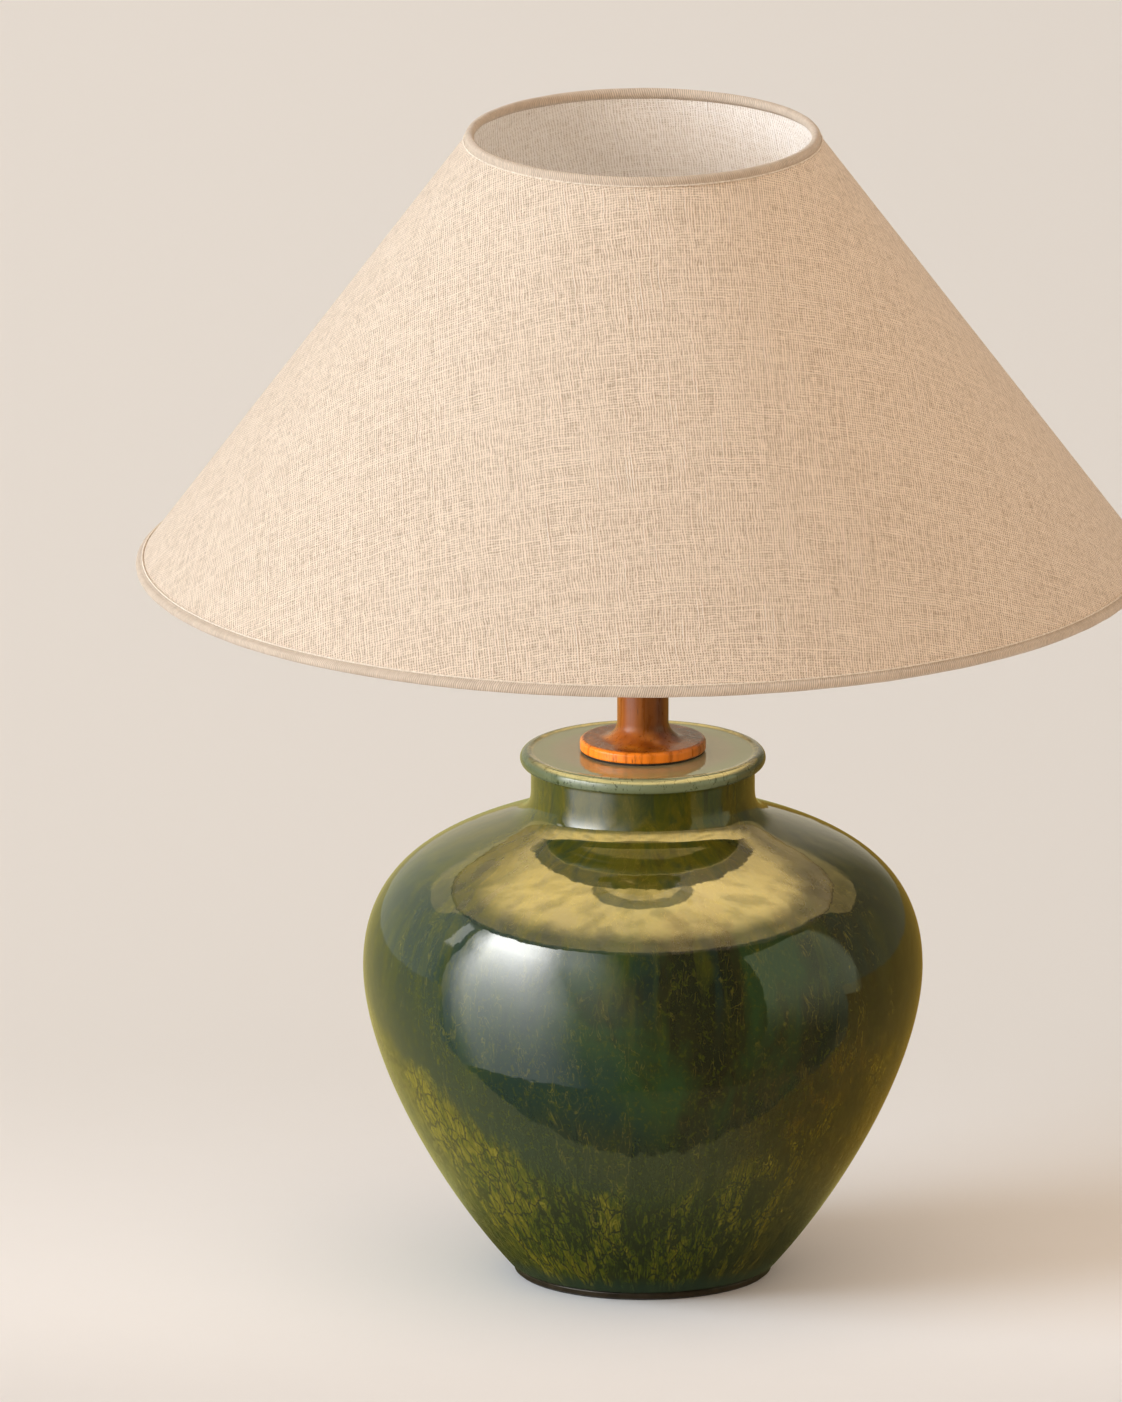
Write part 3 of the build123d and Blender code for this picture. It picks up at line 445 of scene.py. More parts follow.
# lacquered red-brown hardwood, grain upright, the flange's outer rim painted lighter, a painted highlight
woodLook = {
    "pale": (0.290, 0.094, 0.007),
    "mid": (0.150, 0.037, 0.002),
    "dark": (0.072, 0.014, 0.001),
    "rim": (0.520, 0.140, 0.007),
    "pore": (0.030, 0.008, 0.001),
    "roughness": 0.30,
    "litRimSpan": (0.0228, 0.0248),
}


def makeWood(look):
    finish, tree, shader = startFinish(
        "turnedWood", Coat_Weight=0.25, Coat_Roughness=0.18, Specular_IOR_Level=0.35
    )
    place = inPlace(tree)
    grain = scaled(tree, place, (1, 1, 0.14))
    ring = put(tree, "TexWave", {
        "Vector": shifted(tree, grain, (0.060, 0.041, 0)), "Scale": 34.0, "Distortion": 7.0,
        "Detail": 4.0, "Detail Scale": 2.0,
    }, wave_type="RINGS", rings_direction="Z").outputs["Fac"]
    fibre = cloud(tree, scaled(tree, place, (1, 1, 0.10)), 520, 4, 0.6)
    figure = cloud(tree, grain, 70, 4, 0.55, 0.8)
    pore = ease(tree, cloud(tree, scaled(tree, place, (1, 1, 0.12)), 1200, 2, 0.5), 0.64, 0.74)
    amount = mix(tree, (ring, 0.10), (fibre, 0.22), (figure, 0.68))
    colour = ramp(tree, amount, [(0.32, look["dark"]), (0.50, look["mid"]), (0.72, look["pale"])])
    # painted highlight: the outer rim of the flange is painted lighter
    outer = ease(tree, fromAxis(tree, place), *look["litRimSpan"], 0.0, 0.65)
    rim = times(tree, outer, ease(tree, fibre, 0.35, 0.55, 0.5, 1.0))
    colour = blend(tree, rim, colour, look["rim"])
    colour = blend(tree, times(tree, pore, 0.7), colour, look["pore"])
    rough = ease(tree, fibre, 0.3, 0.7, look["roughness"] - 0.05, look["roughness"] + 0.1)
    cover(tree, shader, colour, bump(tree, less(tree, fibre, pore), 0.00004), rough)
    return finish


# metals: clean colour, worn colour, roughness, which way the scratches run
metalLooks = {
    "brass": ((0.720, 0.480, 0.180), (0.420, 0.260, 0.090), 0.24, (1, 1, 14)),
    "steel": ((0.560, 0.550, 0.530), (0.300, 0.290, 0.270), 0.32, (1, 1, 10)),
    "wire": ((0.640, 0.620, 0.580), (0.360, 0.340, 0.310), 0.35, (1, 1, 1)),
    "capMetal": ((0.700, 0.690, 0.660), (0.430, 0.420, 0.390), 0.22, (1, 1, 12)),
}


def makeMetal(name, clean, worn, roughness, run):
    finish, tree, shader = startFinish(name, Metallic=1.0)
    place = inPlace(tree)
    tarnish = cloud(tree, place, 90, 5, 0.6)
    scratch = cloud(tree, scaled(tree, place, run), 900, 3, 0.6)
    colour = blend(tree, ease(tree, tarnish, 0.45, 0.75), clean, worn)
    rough = gain(tree, calc(tree, "ADD", scratch, tarnish), 0.10, roughness - 0.06)
    cover(tree, shader, colour, bump(tree, scratch, 0.00002), rough)
    return finish


# plain finishes: two tones, grains per metre, relief in metres, roughness
plainLooks = {
    "darkEnamel": ((0.020, 0.014, 0.008), (0.048, 0.034, 0.020), 260, 0.00003, 0.20),
    "rubberSeal": ((0.010, 0.009, 0.008), (0.022, 0.020, 0.018), 700, 0.00003, 0.75),
    "bushPlastic": ((0.022, 0.020, 0.018), (0.040, 0.037, 0.033), 1100, 0.00003, 0.45),
    "brownMoulding": ((0.030, 0.014, 0.007), (0.060, 0.030, 0.015), 180, 0.00002, 0.28),
    "whitePorcelain": ((0.740, 0.720, 0.680), (0.820, 0.810, 0.780), 120, 0.00002, 0.16),
    "blackInsulator": ((0.008, 0.008, 0.009), (0.020, 0.019, 0.020), 300, 0.00003, 0.22),
    "lampPhosphor": ((0.780, 0.420, 0.050), (0.860, 0.560, 0.110), 1500, 0.00004, 0.6),
    "driverBoard": ((0.020, 0.090, 0.040), (0.040, 0.150, 0.070), 500, 0.00005, 0.5),
    "baseFelt": ((0.030, 0.026, 0.020), (0.075, 0.065, 0.050), 1400, 0.00035, 0.95),
}


def makePlain(name, first, second, scale, relief, roughness):
    finish, tree, shader = startFinish(name)
    place = inPlace(tree)
    grain = cloud(tree, place, scale, 5, 0.65)
    drift = cloud(tree, place, scale / 8, 3, 0.5)
    colour = ramp(tree, mix(tree, (grain, 0.6), (drift, 0.4)), [(0.35, first), (0.65, second)])
    rough = ease(tree, drift, 0.3, 0.7, roughness * 0.85, roughness * 1.1)
    cover(tree, shader, colour, bump(tree, grain, relief), rough)
    return finish


# clear glass of the bulb
glassLook = {"tint": (0.985, 0.985, 0.975), "roughness": 0.01, "indexOfRefraction": 1.5}


def makeGlass(look):
    finish, tree, shader = startFinish("bulbGlass", Transmission_Weight=1.0, IOR=look["indexOfRefraction"])
    film = cloud(tree, inPlace(tree), 40, 3, 0.5)
    rough = ease(tree, film, 0.4, 0.8, look["roughness"], look["roughness"] + 0.03)
    cover(tree, shader, look["tint"], bump(tree, film, 0.00004), rough)
    return finish


finishes = {"glaze": makeGlaze(glazeLook), "linen": makeWeave(linenLook), "liner": makeWeave(linerLook),
            "tape": makeTape(tapeLook), "thread": makeThread(threadLook), "wood": makeWood(woodLook),
            "glass": makeGlass(glassLook)}
finishes.update({name: makeMetal(name, *look) for name, look in metalLooks.items()})
finishes.update({name: makePlain(name, *look) for name, look in plainLooks.items()})
print("finishes made:", len(finishes))


# mesh helpers
def stand(name, data):
    piece = bpy.data.objects.new(name, data)
    scene.collection.objects.link(piece)
    return piece


def bezier(points, steps):
    line = []
    for step in range(steps + 1):
        t = step / steps
        work = [Vector(p) for p in points]
        while len(work) > 1:
            work = [a.lerp(b, t) for a, b in zip(work, work[1:])]
        line.append(work[0])
    return line


def roundCorner(line, corner, reach, steps=6):
    # swaps the stretch within reach of the corner for a soft bend
    near = [i for i, p in enumerate(line) if (p - corner).length < reach]
    first, last = min(near) - 1, max(near) + 1
    start = corner + (line[first] - corner).normalized() * reach
    end = corner + (line[last] - corner).normalized() * reach
    return line[: first + 1] + bezier([start, corner, end], steps) + line[last:]


def spin(name, outline, steps, shape=None, uv=None):
    # turns a closed (radius, height) outline round the lamp's axis, shape may move a point
    count = len(outline)
    verts, faces, marks = [], [], []
    for k in range(steps):
        turn = 2 * math.pi * k / steps
        for i, point in enumerate(outline):
            radius, height = shape(turn, i, point) if shape else point
            verts.append((radius * math.cos(turn), radius * math.sin(turn), height))
    for k in range(steps):
        for i in range(count):
            j = (i + 1) % count
            after = (k + 1) % steps
            faces.append((k * count + i, after * count + i, after * count + j, k * count + j))
            marks.append(((k, i), (k + 1, i), (k + 1, i + 1), (k, i + 1)))
    return fromFaces(name, verts, faces, marks if uv else None, uv)


def fromFaces(name, verts, faces, marks=None, uv=None):
    mesh = bpy.data.meshes.new(name)
    mesh.from_pydata(verts, [], faces)
    if uv:
        layer = mesh.uv_layers.new(name="cloth")
        corners = [uv(*mark) for face in marks for mark in face]
        for loop, place in zip(layer.data, corners):
            loop.uv = place
    work = bmesh.new()
    work.from_mesh(mesh)
    bmesh.ops.recalc_face_normals(work, faces=work.faces)
    work.to_mesh(mesh)
    work.free()
    mesh.shade_smooth()
    return stand(name, mesh)


def dress(piece, finish):
    piece.data.materials.clear()
    piece.data.materials.append(finishes[finish])
    return piece


def settle(piece, body, slot, *replaced):
    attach(piece, body)
    if replaced:
        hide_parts(*replaced)
    return piece


# vase: the CAD body's outline turned finely, so that the gloss runs clean
vaseShape = {
    "footOpening": 43.5, "footRadius": 51.5, "footRound": 1.5, "footHeight": 3.0,
    "footFlare": 42.0, "footPull": 45.0, "innerFootRise": 6.0,
    "bellyRadius": 110.4, "bellyHeight": 124.0, "bellyPullLow": 35.0, "bellyPullHigh": 48.0,
    "shoulderHeight": 187.5, "shoulderSlope": 26.0, "shoulderPull": 24.0, "shoulderCove": 12.0,
    "neckRadius": 44.2, "lipRadius": 48.5, "lipBead": 3.2, "lipHeight": 208.5, "lipCove": 1.6,
    "deckDip": 0.5, "deckCove": 1.2, "deckThickness": 7.0, "rodHole": 6.0, "wall": 6.0,
    "cordHoleRadius": 5.0, "cordHoleHeight": 11.0, "drillLength": 80.0, "drillMiddle": 75.0,
    "steps": 288, "lipSteps": 28,
}


def lowerWall(s, foot, belly):
    lean = math.radians(s["footFlare"])
    pull = foot + Vector((math.sin(lean), math.cos(lean))) * s["footPull"]
    return bezier([foot, pull, belly - Vector((0, s["bellyPullLow"])), belly], 48)


def upperWall(s, belly, end):
    slope = math.radians(s["shoulderSlope"])
    pull = end + Vector((math.cos(slope), -math.sin(slope))) * s["shoulderPull"]
    return bezier([belly, belly + Vector((0, s["bellyPullHigh"])), pull, end], 56)


def vaseOutline(s):
    foot = Vector((s["footRadius"], s["footHeight"]))
    belly = Vector((s["bellyRadius"], s["bellyHeight"]))
    root = Vector((s["neckRadius"], s["shoulderHeight"]))
    lipMiddle = Vector((s["lipRadius"] - s["lipBead"], s["lipHeight"]))
    under = math.asin((s["neckRadius"] - lipMiddle.x) / s["lipBead"])
    deckZ = s["lipHeight"] + s["lipBead"] - s["deckDip"]
    arcEnd = math.acos((s["lipBead"] - s["deckDip"]) / s["lipBead"])
    sweep = [math.pi - under, -arcEnd]
    lip = []
    for step in range(s["lipSteps"] + 1):
        a = sweep[0] + (sweep[1] - sweep[0]) * step / s["lipSteps"]
        lip.append(lipMiddle + Vector((math.sin(a), math.cos(a))) * s["lipBead"])
    deckEdge = lip[-1]
    neck = [root.lerp(lip[0], step / 10) for step in range(1, 10)]
    deck = [deckEdge.lerp(Vector((s["rodHole"], deckZ)), step / 14) for step in range(1, 15)]
    outside = lowerWall(s, foot, belly) + upperWall(s, belly, root)[1:] + neck + lip + deck
    outside = roundCorner(outside, root, s["shoulderCove"] * 0.62)
    outside = roundCorner(outside, lip[0], s["lipCove"] * 0.8)
    outside = roundCorner(outside, deckEdge, s["deckCove"] * 0.8)
    outside = bezier([foot - Vector((s["footRound"], 0)), foot, outside[1]], 6) + outside[2:]
    innerNeck = Vector((s["neckRadius"] - s["wall"], s["shoulderHeight"] - s["wall"]))
    innerBelly = Vector((s["bellyRadius"] - s["wall"], s["bellyHeight"]))
    innerFoot = Vector((s["footOpening"], s["footHeight"] + s["innerFootRise"]))
    deckUnder = deckZ - s["deckThickness"]
    inside = [Vector((s["rodHole"], deckUnder)), Vector((innerNeck.x, deckUnder))]
    inside += upperWall(s, innerBelly, innerNeck)[::-2] + lowerWall(s, innerFoot, innerBelly)[-3::-2]
    inside += [Vector((s["footOpening"], s["footHeight"]))]
    return [p * mm for p in outside + inside]


def makeVase(s):
    vase = spin("vaseBody", vaseOutline(s), s["steps"])
    drill = bpy.data.meshes.new("cordDrill")
    work = bmesh.new()
    bmesh.ops.create_cone(work, cap_ends=True, segments=48, radius1=s["cordHoleRadius"] * mm,
                          radius2=s["cordHoleRadius"] * mm, depth=s["drillLength"] * mm)
    middle, height = s["drillMiddle"] * mm, s["cordHoleHeight"] * mm
    for vert in work.verts:
        vert.co = Vector((vert.co.x, vert.co.z + middle, vert.co.y + height))
    bmesh.ops.recalc_face_normals(work, faces=work.faces)
    work.to_mesh(drill)
    work.free()
    drillPiece = stand("cordDrill", drill)
    cut = vase.modifiers.new("cordHole", "BOOLEAN")
    cut.object = drillPiece
    cut.solver = "EXACT"
    bpy.context.view_layer.update()
    bored = bpy.data.meshes.new_from_object(vase.evaluated_get(bpy.context.evaluated_depsgraph_get()))
    vase.modifiers.clear()
    vase.data = bored
    bpy.data.objects.remove(drillPiece)
    vase.data.set_sharp_from_angle(angle=math.radians(40))
    return settle(dress(vase, "glaze"), "base", "glaze", "ceramic_body")


makeVase(vaseShape)
print("vase turned")


# shade: linen and liner on the cone, tape round both wires, sewn hem lines
shadeShape = {
    "roll": 1.8 * mm, "wireGap": 1.4 * mm, "tape": 0.4 * mm, "flap": 2.6 * mm, "edge": 1.8 * mm,
    "cloth": 0.6 * mm, "glue": 0.02 * mm, "lap": 12.0 * mm, "lapRise": 0.7 * mm,
    "ripple": 0.14 * mm, "rippleAround": 5, "rippleUp": 22, "columns": 480, "rows": 44,
    "bottomSteps": 900, "topSteps": 360,
    "linenSeam": 90, "linenGrain": 278, "linerSeam": -90, "linerGrain": 80,
}
bottomLow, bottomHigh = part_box("bottom_ring")
topLow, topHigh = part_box("top_ring")


def wireMiddle(low, high):
    return Vector((high.x - (high.z - low.z) / 2, (low.z + high.z) / 2))


bottomWire = wireMiddle(bottomLow, bottomHigh)
topWire = wireMiddle(topLow, topHigh)
slantLine = topWire - bottomWire
slantLength = slantLine.length
upSlant = slantLine.normalized()
offSlant = Vector((upSlant.y, -upSlant.x))
coneSine = -upSlant.x
coneRadius = bottomWire.x / coneSine   # along the slant from the tip of the cone


def onSlant(along, out):
    return bottomWire + upSlant * along + offSlant * out


def flatPlace(turn, along, grain):
    angle = (turn - math.radians(grain)) * coneSine
    reach = coneRadius - along
    return (reach * math.sin(angle), reach * math.cos(angle))


def makeCone(name, low, shape, lap, seam, grain):
    # a cut of cloth wrapped round the cone from its seam, one end lapped over the other
    start = math.radians(seam)
    columns, rows = shape["columns"], shape["rows"]
    verts, faces, marks = [], [], []
    for k in range(columns + 1):
        share = k / columns
        for j in range(rows + 1):
            along = shape["edge"] + (slantLength - 2 * shape["edge"]) * j / rows
            reach = onSlant(along, low).x
            sweep = 2 * math.pi + lap / reach
            turn = start + sweep * share
            over = min(max((turn - start - 2 * math.pi) * 2 * reach / lap + 1, 0), 1) if lap else 0
            over *= min(max((min(along, slantLength - along) - shape["flap"]) / (3 * mm), 0), 1)
            around = shape["rippleAround"]
            spot = Vector((math.cos(turn) * around, math.sin(turn) * around, along * shape["rippleUp"]))
            wave = noise.noise(spot) * shape["ripple"]
            calm = math.sin(math.pi * j / rows)
            lift = over * shape["lapRise"] + wave * calm
            for out in (low + lift, low + shape["cloth"] + lift):
                radius, height = onSlant(along, out)
                verts.append((radius * math.cos(turn), radius * math.sin(turn), height))
            marks.append(flatPlace(turn, along, grain))
    across = 2 * (rows + 1)

    def at(k, j, side):
        return k * across + 2 * j + side

    uvs = []
    for k in range(columns):
        for j in range(rows):
            for side in (0, 1):
                quad = [(k, j), (k + 1, j), (k + 1, j + 1), (k, j + 1)]
                quad = quad if side else quad[::-1]
                faces.append([at(*c, side) for c in quad])
                uvs.append(quad)
        for j in (0, rows):
            quad = [(k, j, 0), (k + 1, j, 0), (k + 1, j, 1), (k, j, 1)]
            quad = quad[::-1] if j else quad
            faces.append([at(*c) for c in quad])
            uvs.append([c[:2] for c in quad])
    for k in (0, columns):
        for j in range(rows):
            quad = [(k, j, 0), (k, j, 1), (k, j + 1, 1), (k, j + 1, 0)]
            faces.append([at(*c) for c in quad])
            uvs.append([c[:2] for c in quad])
    cone = fromFaces(name, verts, faces, uvs, lambda k, j: marks[k * (rows + 1) + j])
    cone.data.set_sharp_from_angle(angle=math.radians(50))
    return cone


def tapeOutline(shape, end):
    # end 0 is the bottom rim, 1 the top rim: (along, out) round the rolled and folded tape
    outerFace = shape["cloth"] + shape["glue"]
    innerFace = -shape["cloth"] - 2 * shape["glue"]
    way = -1 if end else 1
    base = slantLength if end else 0

    def bend(radius, highOut, lowOut):
        first, last = math.asin(highOut / radius), math.asin(lowOut / radius)
        angles = [first + (2 * math.pi + last - first) * step / 22 for step in range(23)]
        return [(radius * math.cos(a), radius * math.sin(a)) for a in angles]

    outer = bend(shape["roll"], outerFace + shape["tape"], innerFace - shape["tape"])
    inner = bend(shape["wireGap"], outerFace, innerFace)
    flap = shape["flap"]
    outline = [(flap, outerFace + shape["tape"]), *outer, (flap, innerFace - shape["tape"])]
    outline += [(flap, innerFace), *inner[::-1], (flap, outerFace)]
    return [onSlant(base + way * along, out) for along, out in outline]


def makeTapeRim(name, node, end, shape):
    outline = tapeOutline(shape, end)
    runs = [0.0]
    for a, b in zip(outline, outline[1:] + outline[:1]):
        runs.append(runs[-1] + (b - a).length)
    middle = topWire if end else bottomWire
    reach = middle.x
    steps = shape["topSteps"] if end else shape["bottomSteps"]

    def soften(turn, i, point):
        wave = noise.noise(Vector((math.cos(turn) * reach * 90, math.sin(turn) * reach * 90, i * 0.35)))
        return point + (point - middle).normalized() * wave * 0.12 * mm

    rim = spin(name, outline, steps, soften, lambda k, i: (2 * math.pi * reach * k / steps, runs[i]))
    return settle(dress(rim, "tape"), "shade", "tape", node)


hemShape = {"radius": 0.40 * mm, "stitch": 2.5 * mm, "sink": 0.05 * mm, "pinch": 0.45,
            "around": 8, "perStitch": 7}


def makeHem(name, end, hem, shape):
    along = slantLength - shape["flap"] if end else shape["flap"]
    middle = onSlant(along, shape["cloth"] + shape["glue"] + shape["tape"] - hem["sink"])
    stitches = round(2 * math.pi * middle.x / hem["stitch"])
    outline = []
    for i in range(hem["around"]):
        a = 2 * math.pi * i / hem["around"]
        outline.append(middle + Vector((math.cos(a), math.sin(a))) * hem["radius"])

    def pull(turn, i, point):
        swell = hem["pinch"] + (1 - hem["pinch"]) * abs(math.sin(turn * stitches / 2)) ** 0.5
        return middle + (point - middle) * swell

    line = spin(name, outline, stitches * hem["perStitch"], pull)
    return settle(dress(line, "thread"), "shade", "tape")


linenCone = makeCone("linenCone", 0, shadeShape, shadeShape["lap"],
                     shadeShape["linenSeam"], shadeShape["linenGrain"])
settle(dress(linenCone, "linen"), "shade", "linen", "shade_linen")
linerLow = -shadeShape["cloth"] - shadeShape["glue"]
linerCone = makeCone("linerCone", linerLow, shadeShape, 0,
                     shadeShape["linerSeam"], shadeShape["linerGrain"])
settle(dress(linerCone, "liner"), "shade", "liner", "shade_liner")
makeTapeRim("bottomTape", "bottom_binding", 0, shadeShape)
makeTapeRim("topTape", "top_binding", 1, shadeShape)
makeHem("bottomHem", 0, hemShape, shadeShape)
makeHem("topHem", 1, hemShape, shadeShape)
print("shade covered")


# felt under the plate, with a soft napped edge
feltShape = {"steps": 240, "rings": 12, "pinhole": 0.0005, "nap": 0.25 * mm}


def makeFelt(shape):
    low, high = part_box("felt_pad")
    radius = high.x
    rings = shape["rings"]
    pin = shape["pinhole"]
    under = [Vector((radius * (pin + (1 - pin) * i / rings), low.z)) for i in range(rings)]
    edge = [Vector((radius, low.z + (high.z - low.z) * i / 4)) for i in range(5)]
    over = [Vector((p.x, high.z)) for p in reversed(under)]

    def nap(turn, i, point):
        spot = Vector((math.cos(turn) * 40, math.sin(turn) * 40, i * 1.7))
        pull = noise.noise(spot) * shape["nap"]
        return Vector((point.x - abs(pull), point.y))

    felt = spin("feltDisc", under + edge + over, shape["steps"], nap)
    return settle(dress(felt, "baseFelt"), "base", "felt", "felt_pad")


makeFelt(feltShape)
print("felt cut")


# bulb cap with its rolled screw thread
threadShape = {
    "pitch": 3.629 * mm, "depth": 0.75 * mm, "wall": 0.45 * mm, "collar": 3.0 * mm,
    "steps": 96, "perPitch": 14,
}


def makeBulbCap(shape):
    low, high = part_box("bulb_cap")
    crest = high.x
    top = high.z - shape["collar"]
    rows = int((top - low.z) / shape["pitch"] * shape["perPitch"])
    outline = [Vector((crest, low.z + (top - low.z) * i / rows)) for i in range(rows + 1)]
    outline += [Vector((crest - shape["depth"] * 0.4, high.z - 0.4 * mm)),
                Vector((crest - shape["depth"] * 0.5, high.z))]
    outer = len(outline)
    bore = crest - shape["depth"] - shape["wall"]
    outline += [Vector((bore, high.z)), Vector((bore, low.z))]
    half = 0.5 * shape["pitch"]

    def screw(turn, i, point):
        if i >= outer - 2:
            return point
        fade = min(1, (point.y - low.z) / half, (top - point.y) / half + 0.001)
        wave = 0.5 - 0.5 * math.cos(2 * math.pi * (point.y - low.z) / shape["pitch"] - turn)
        return Vector((point.x - shape["depth"] * (1 - wave * max(fade, 0)), point.y))

    cap = spin("bulbScrewCap", outline, shape["steps"], screw)
    return settle(dress(cap, "capMetal"), "bulb", "bulb_metal", "bulb_cap")


makeBulbCap(threadShape)
print("bulb cap threaded")


# the other CAD nodes keep their shape and get their finish
nodeFinish = {
    "darkEnamel": ["base_plate"],
    "steel": ["base_washer", "base_nut", "threaded_rod", "lock_nut", "set_screw"],
    "brass": ["check_ring", "holder_cap", "switch_contacts", "contact_bridge", "terminal_screws",
              "centre_contact", "screw_shell", "push_bar"],
    "rubberSeal": ["neck_gasket"],
    "bushPlastic": ["cord_bush"],
    "brownMoulding": ["switch_block", "holder_skirt", "shade_ring", "bar_tips"],
    "whitePorcelain": ["holder_core"],
    "wood": ["wooden_neck"],
    "wire": ["bottom_ring", "top_ring", "carrier_ring", "carrier_spokes", "filament_stars"],
    "capMetal": ["bulb_contact"],
    "blackInsulator": ["bulb_insulator"],
    "driverBoard": ["bulb_driver"],
    "glass": ["bulb_glass", "bulb_stem"],
    "lampPhosphor": ["bulb_filaments"],
}
for finish, names in nodeFinish.items():
    for name in names:
        dress(nodes[name], finish)
print("CAD nodes dressed")


# floor: pale and matt, painted lighter across the lamp's line and dimmer to the right, painted light and
# shade; the gloss sees it dimmer, with painted shadow round the foot and the studio's dark in front of a
# curved edge
floorLook = {
    "front": (0.842, 0.818, 0.798), "middle": (0.965, 0.940, 0.920), "far": (0.822, 0.801, 0.770),
    "frontSpan": (-0.24, -0.02), "farSpan": (-0.02, 0.38), "right": 0.95, "radius": 7.0,
    "mirroredEdge": -0.131, "mirroredEdgeBow": -0.85, "frontReach": 0.208, "frontColour": (0.120, 0.105, 0.055),
    "nearGloss": (0.440, 0.440, 0.180), "leftGloss": (0.620, 0.530, 0.200),
    "rightGloss": (0.300, 0.190, 0.035),
}


def mirrored(tree):
    # gloss, but not what is seen through glass
    rays = put(tree, "LightPath").outputs
    return calc(tree, "SUBTRACT", rays["Is Glossy Ray"], rays["Is Transmission Ray"], clamp=True)


def makeFloor(look):
    mesh = bpy.data.meshes.new("studioFloor")
    work = bmesh.new()
    bmesh.ops.create_circle(work, cap_ends=True, segments=96, radius=look["radius"])
    work.to_mesh(mesh)
    work.free()
    floor = stand("studioFloor", mesh)
    finish = bpy.data.materials.new("paleFloor")
    finish.use_nodes = True
    tree = finish.node_tree
    tree.nodes.clear()
    place = inPlace(tree)
    x, y, _ = parts(tree, place)
    grain = cloud(tree, place, 30, 4, 0.6)
    depth = gain(tree, grain, 0.02, y)
    # painted light and shade: lightest across the lamp's own line, darker in front and far behind, and
    # dimmer to the right
    colour = blend(tree, ease(tree, depth, *look["frontSpan"]), look["front"], look["middle"])
    colour = blend(tree, ease(tree, depth, *look["farSpan"]), colour, look["far"])
    colour = dimmed(tree, colour, ease(tree, x, -0.30, 0.30, 1.0, look["right"]))
    matt = put(tree, "BsdfDiffuse", {"Color": colour}).outputs[0]
    # the mirrored floor is painted brighter on the left and darker on the right, and darker close round the
    # foot: painted light and shade in the reflection
    gloss = blend(tree, ease(tree, x, -0.05, -0.20), look["nearGloss"], look["leftGloss"])
    gloss = blend(tree, ease(tree, x, 0.02, 0.14), gloss, look["rightGloss"])
    away = vectors(tree, "LENGTH", place)["Value"]
    gloss = dimmed(tree, gloss, ease(tree, away, 0.060, 0.125, 0.15, 1.0))
    square = calc(tree, "MINIMUM", times(tree, x, x), 0.10)
    bowed = gain(tree, square, look["mirroredEdgeBow"], y)
    torn = gain(tree, less(tree, cloud(tree, place, 70, 4, 0.65), 0.5), 0.022, bowed)
    ahead = ease(tree, torn, look["mirroredEdge"] + 0.0006, look["mirroredEdge"] - 0.0006)
    gloss = blend(tree, ahead, gloss, look["frontColour"])
    seen = put(tree, "Emission", {"Color": gloss, "Strength": 1.0}).outputs[0]
    clear = put(tree, "BsdfTransparent").outputs[0]
    past = gain(tree, square, -0.72, away)
    openFront = times(tree, calc(tree, "LESS_THAN", bowed, look["mirroredEdge"]),
                      calc(tree, "GREATER_THAN", past, look["frontReach"]))
    surface = either(tree, mirrored(tree), matt, either(tree, openFront, seen, clear))
    under = put(tree, "NewGeometry").outputs["Backfacing"]
    surface = either(tree, under, surface, clear)
    put(tree, "OutputMaterial", {"Surface": surface})
    mesh.materials.append(finish)


makeFloor(floorLook)


# light: a broad soft key from the left, warm light all round, boxes and a glow that only the gloss sees
# suns: turn and rise in degrees, strength, spread in degrees, colour
keyLooks = {
    "keySun": (-73.0, 25.0, 1.95, 40.0, (0.66, 0.83, 1.0)),
    "lowSun": (-72.0, 8.0, 1.15, 20.0, (0.78, 0.88, 1.0)),
    "neckSun": (-82.0, 9.0, 6.80, 16.0, (1.0, 0.90, 0.74)),
    "rimSun": (-25.0, 19.2, 4.40, 2.0, (1.0, 0.86, 0.70)),
    "liningSun": (-42.0, 18.0, 1.50, 20.0, (1.0, 0.95, 0.92)),
}
fillLook = {
    "colour": (1.0, 0.830, 0.670), "strength": 0.735, "frontBias": 0.06, "rightBias": 0.16,
    "leftGloss": (0.760, 0.740, 0.500), "midGloss": (0.770, 0.690, 0.520),
    "rightGloss": (0.220, 0.200, 0.110), "aheadGloss": (0.010, 0.012, 0.010),
}
boxLevel = 0.14   # height that the boxes' angles are counted from
boxLooks = {
    "leftBox": {"from": -112.0, "to": 8.0, "low": -1.3, "high": 2.1, "reach": 1.25, "radiance": 16.8,
                "colour": (1.0, 1.0, 0.97), "topRise": 38.0, "fade": 1.040},
    "rightBox": {"from": 50.0, "to": 108.0, "low": -1.0, "high": 1.30, "reach": 1.25, "radiance": 0.70,
                 "colour": (0.85, 1.0, 0.65)},
}
# daylight that comes through the cloth: radius, place, lean in degrees, radiance, colour
throughLooks = {
    "throughTop": (0.060, (0, 0, 0.385), (180.0, 0.0), 0.47, (1.0, 0.870, 0.730)),
    "throughDown": (0.120, (0, 0, 0.300), (0.0, 0.0), 0.36, (1.0, 0.800, 0.560)),
    "footSoft": (0.170, (0, -0.065, 0.220), (0.0, 0.0), 0.52, (1.0, 0.830, 0.660)),
    "upperSoft": (0.100, (0.220, -0.180, 0.560), (33.0, 40.0), 0.85, (1.0, 0.850, 0.690)),
}
glowLook = {
    "radius": 0.187, "backRadius": 0.270, "radiance": 7.0, "colour": (1.0, 0.710, 0.240),
    "hollow": (-0.019, 0.0275), "crescent": (-0.026, 0.0385), "soft": 0.001,
}


def aimed(turn, rise):
    turn, rise = math.radians(turn), math.radians(rise)
    return Vector((math.sin(turn) * math.cos(rise), -math.cos(turn) * math.cos(rise), math.sin(rise)))


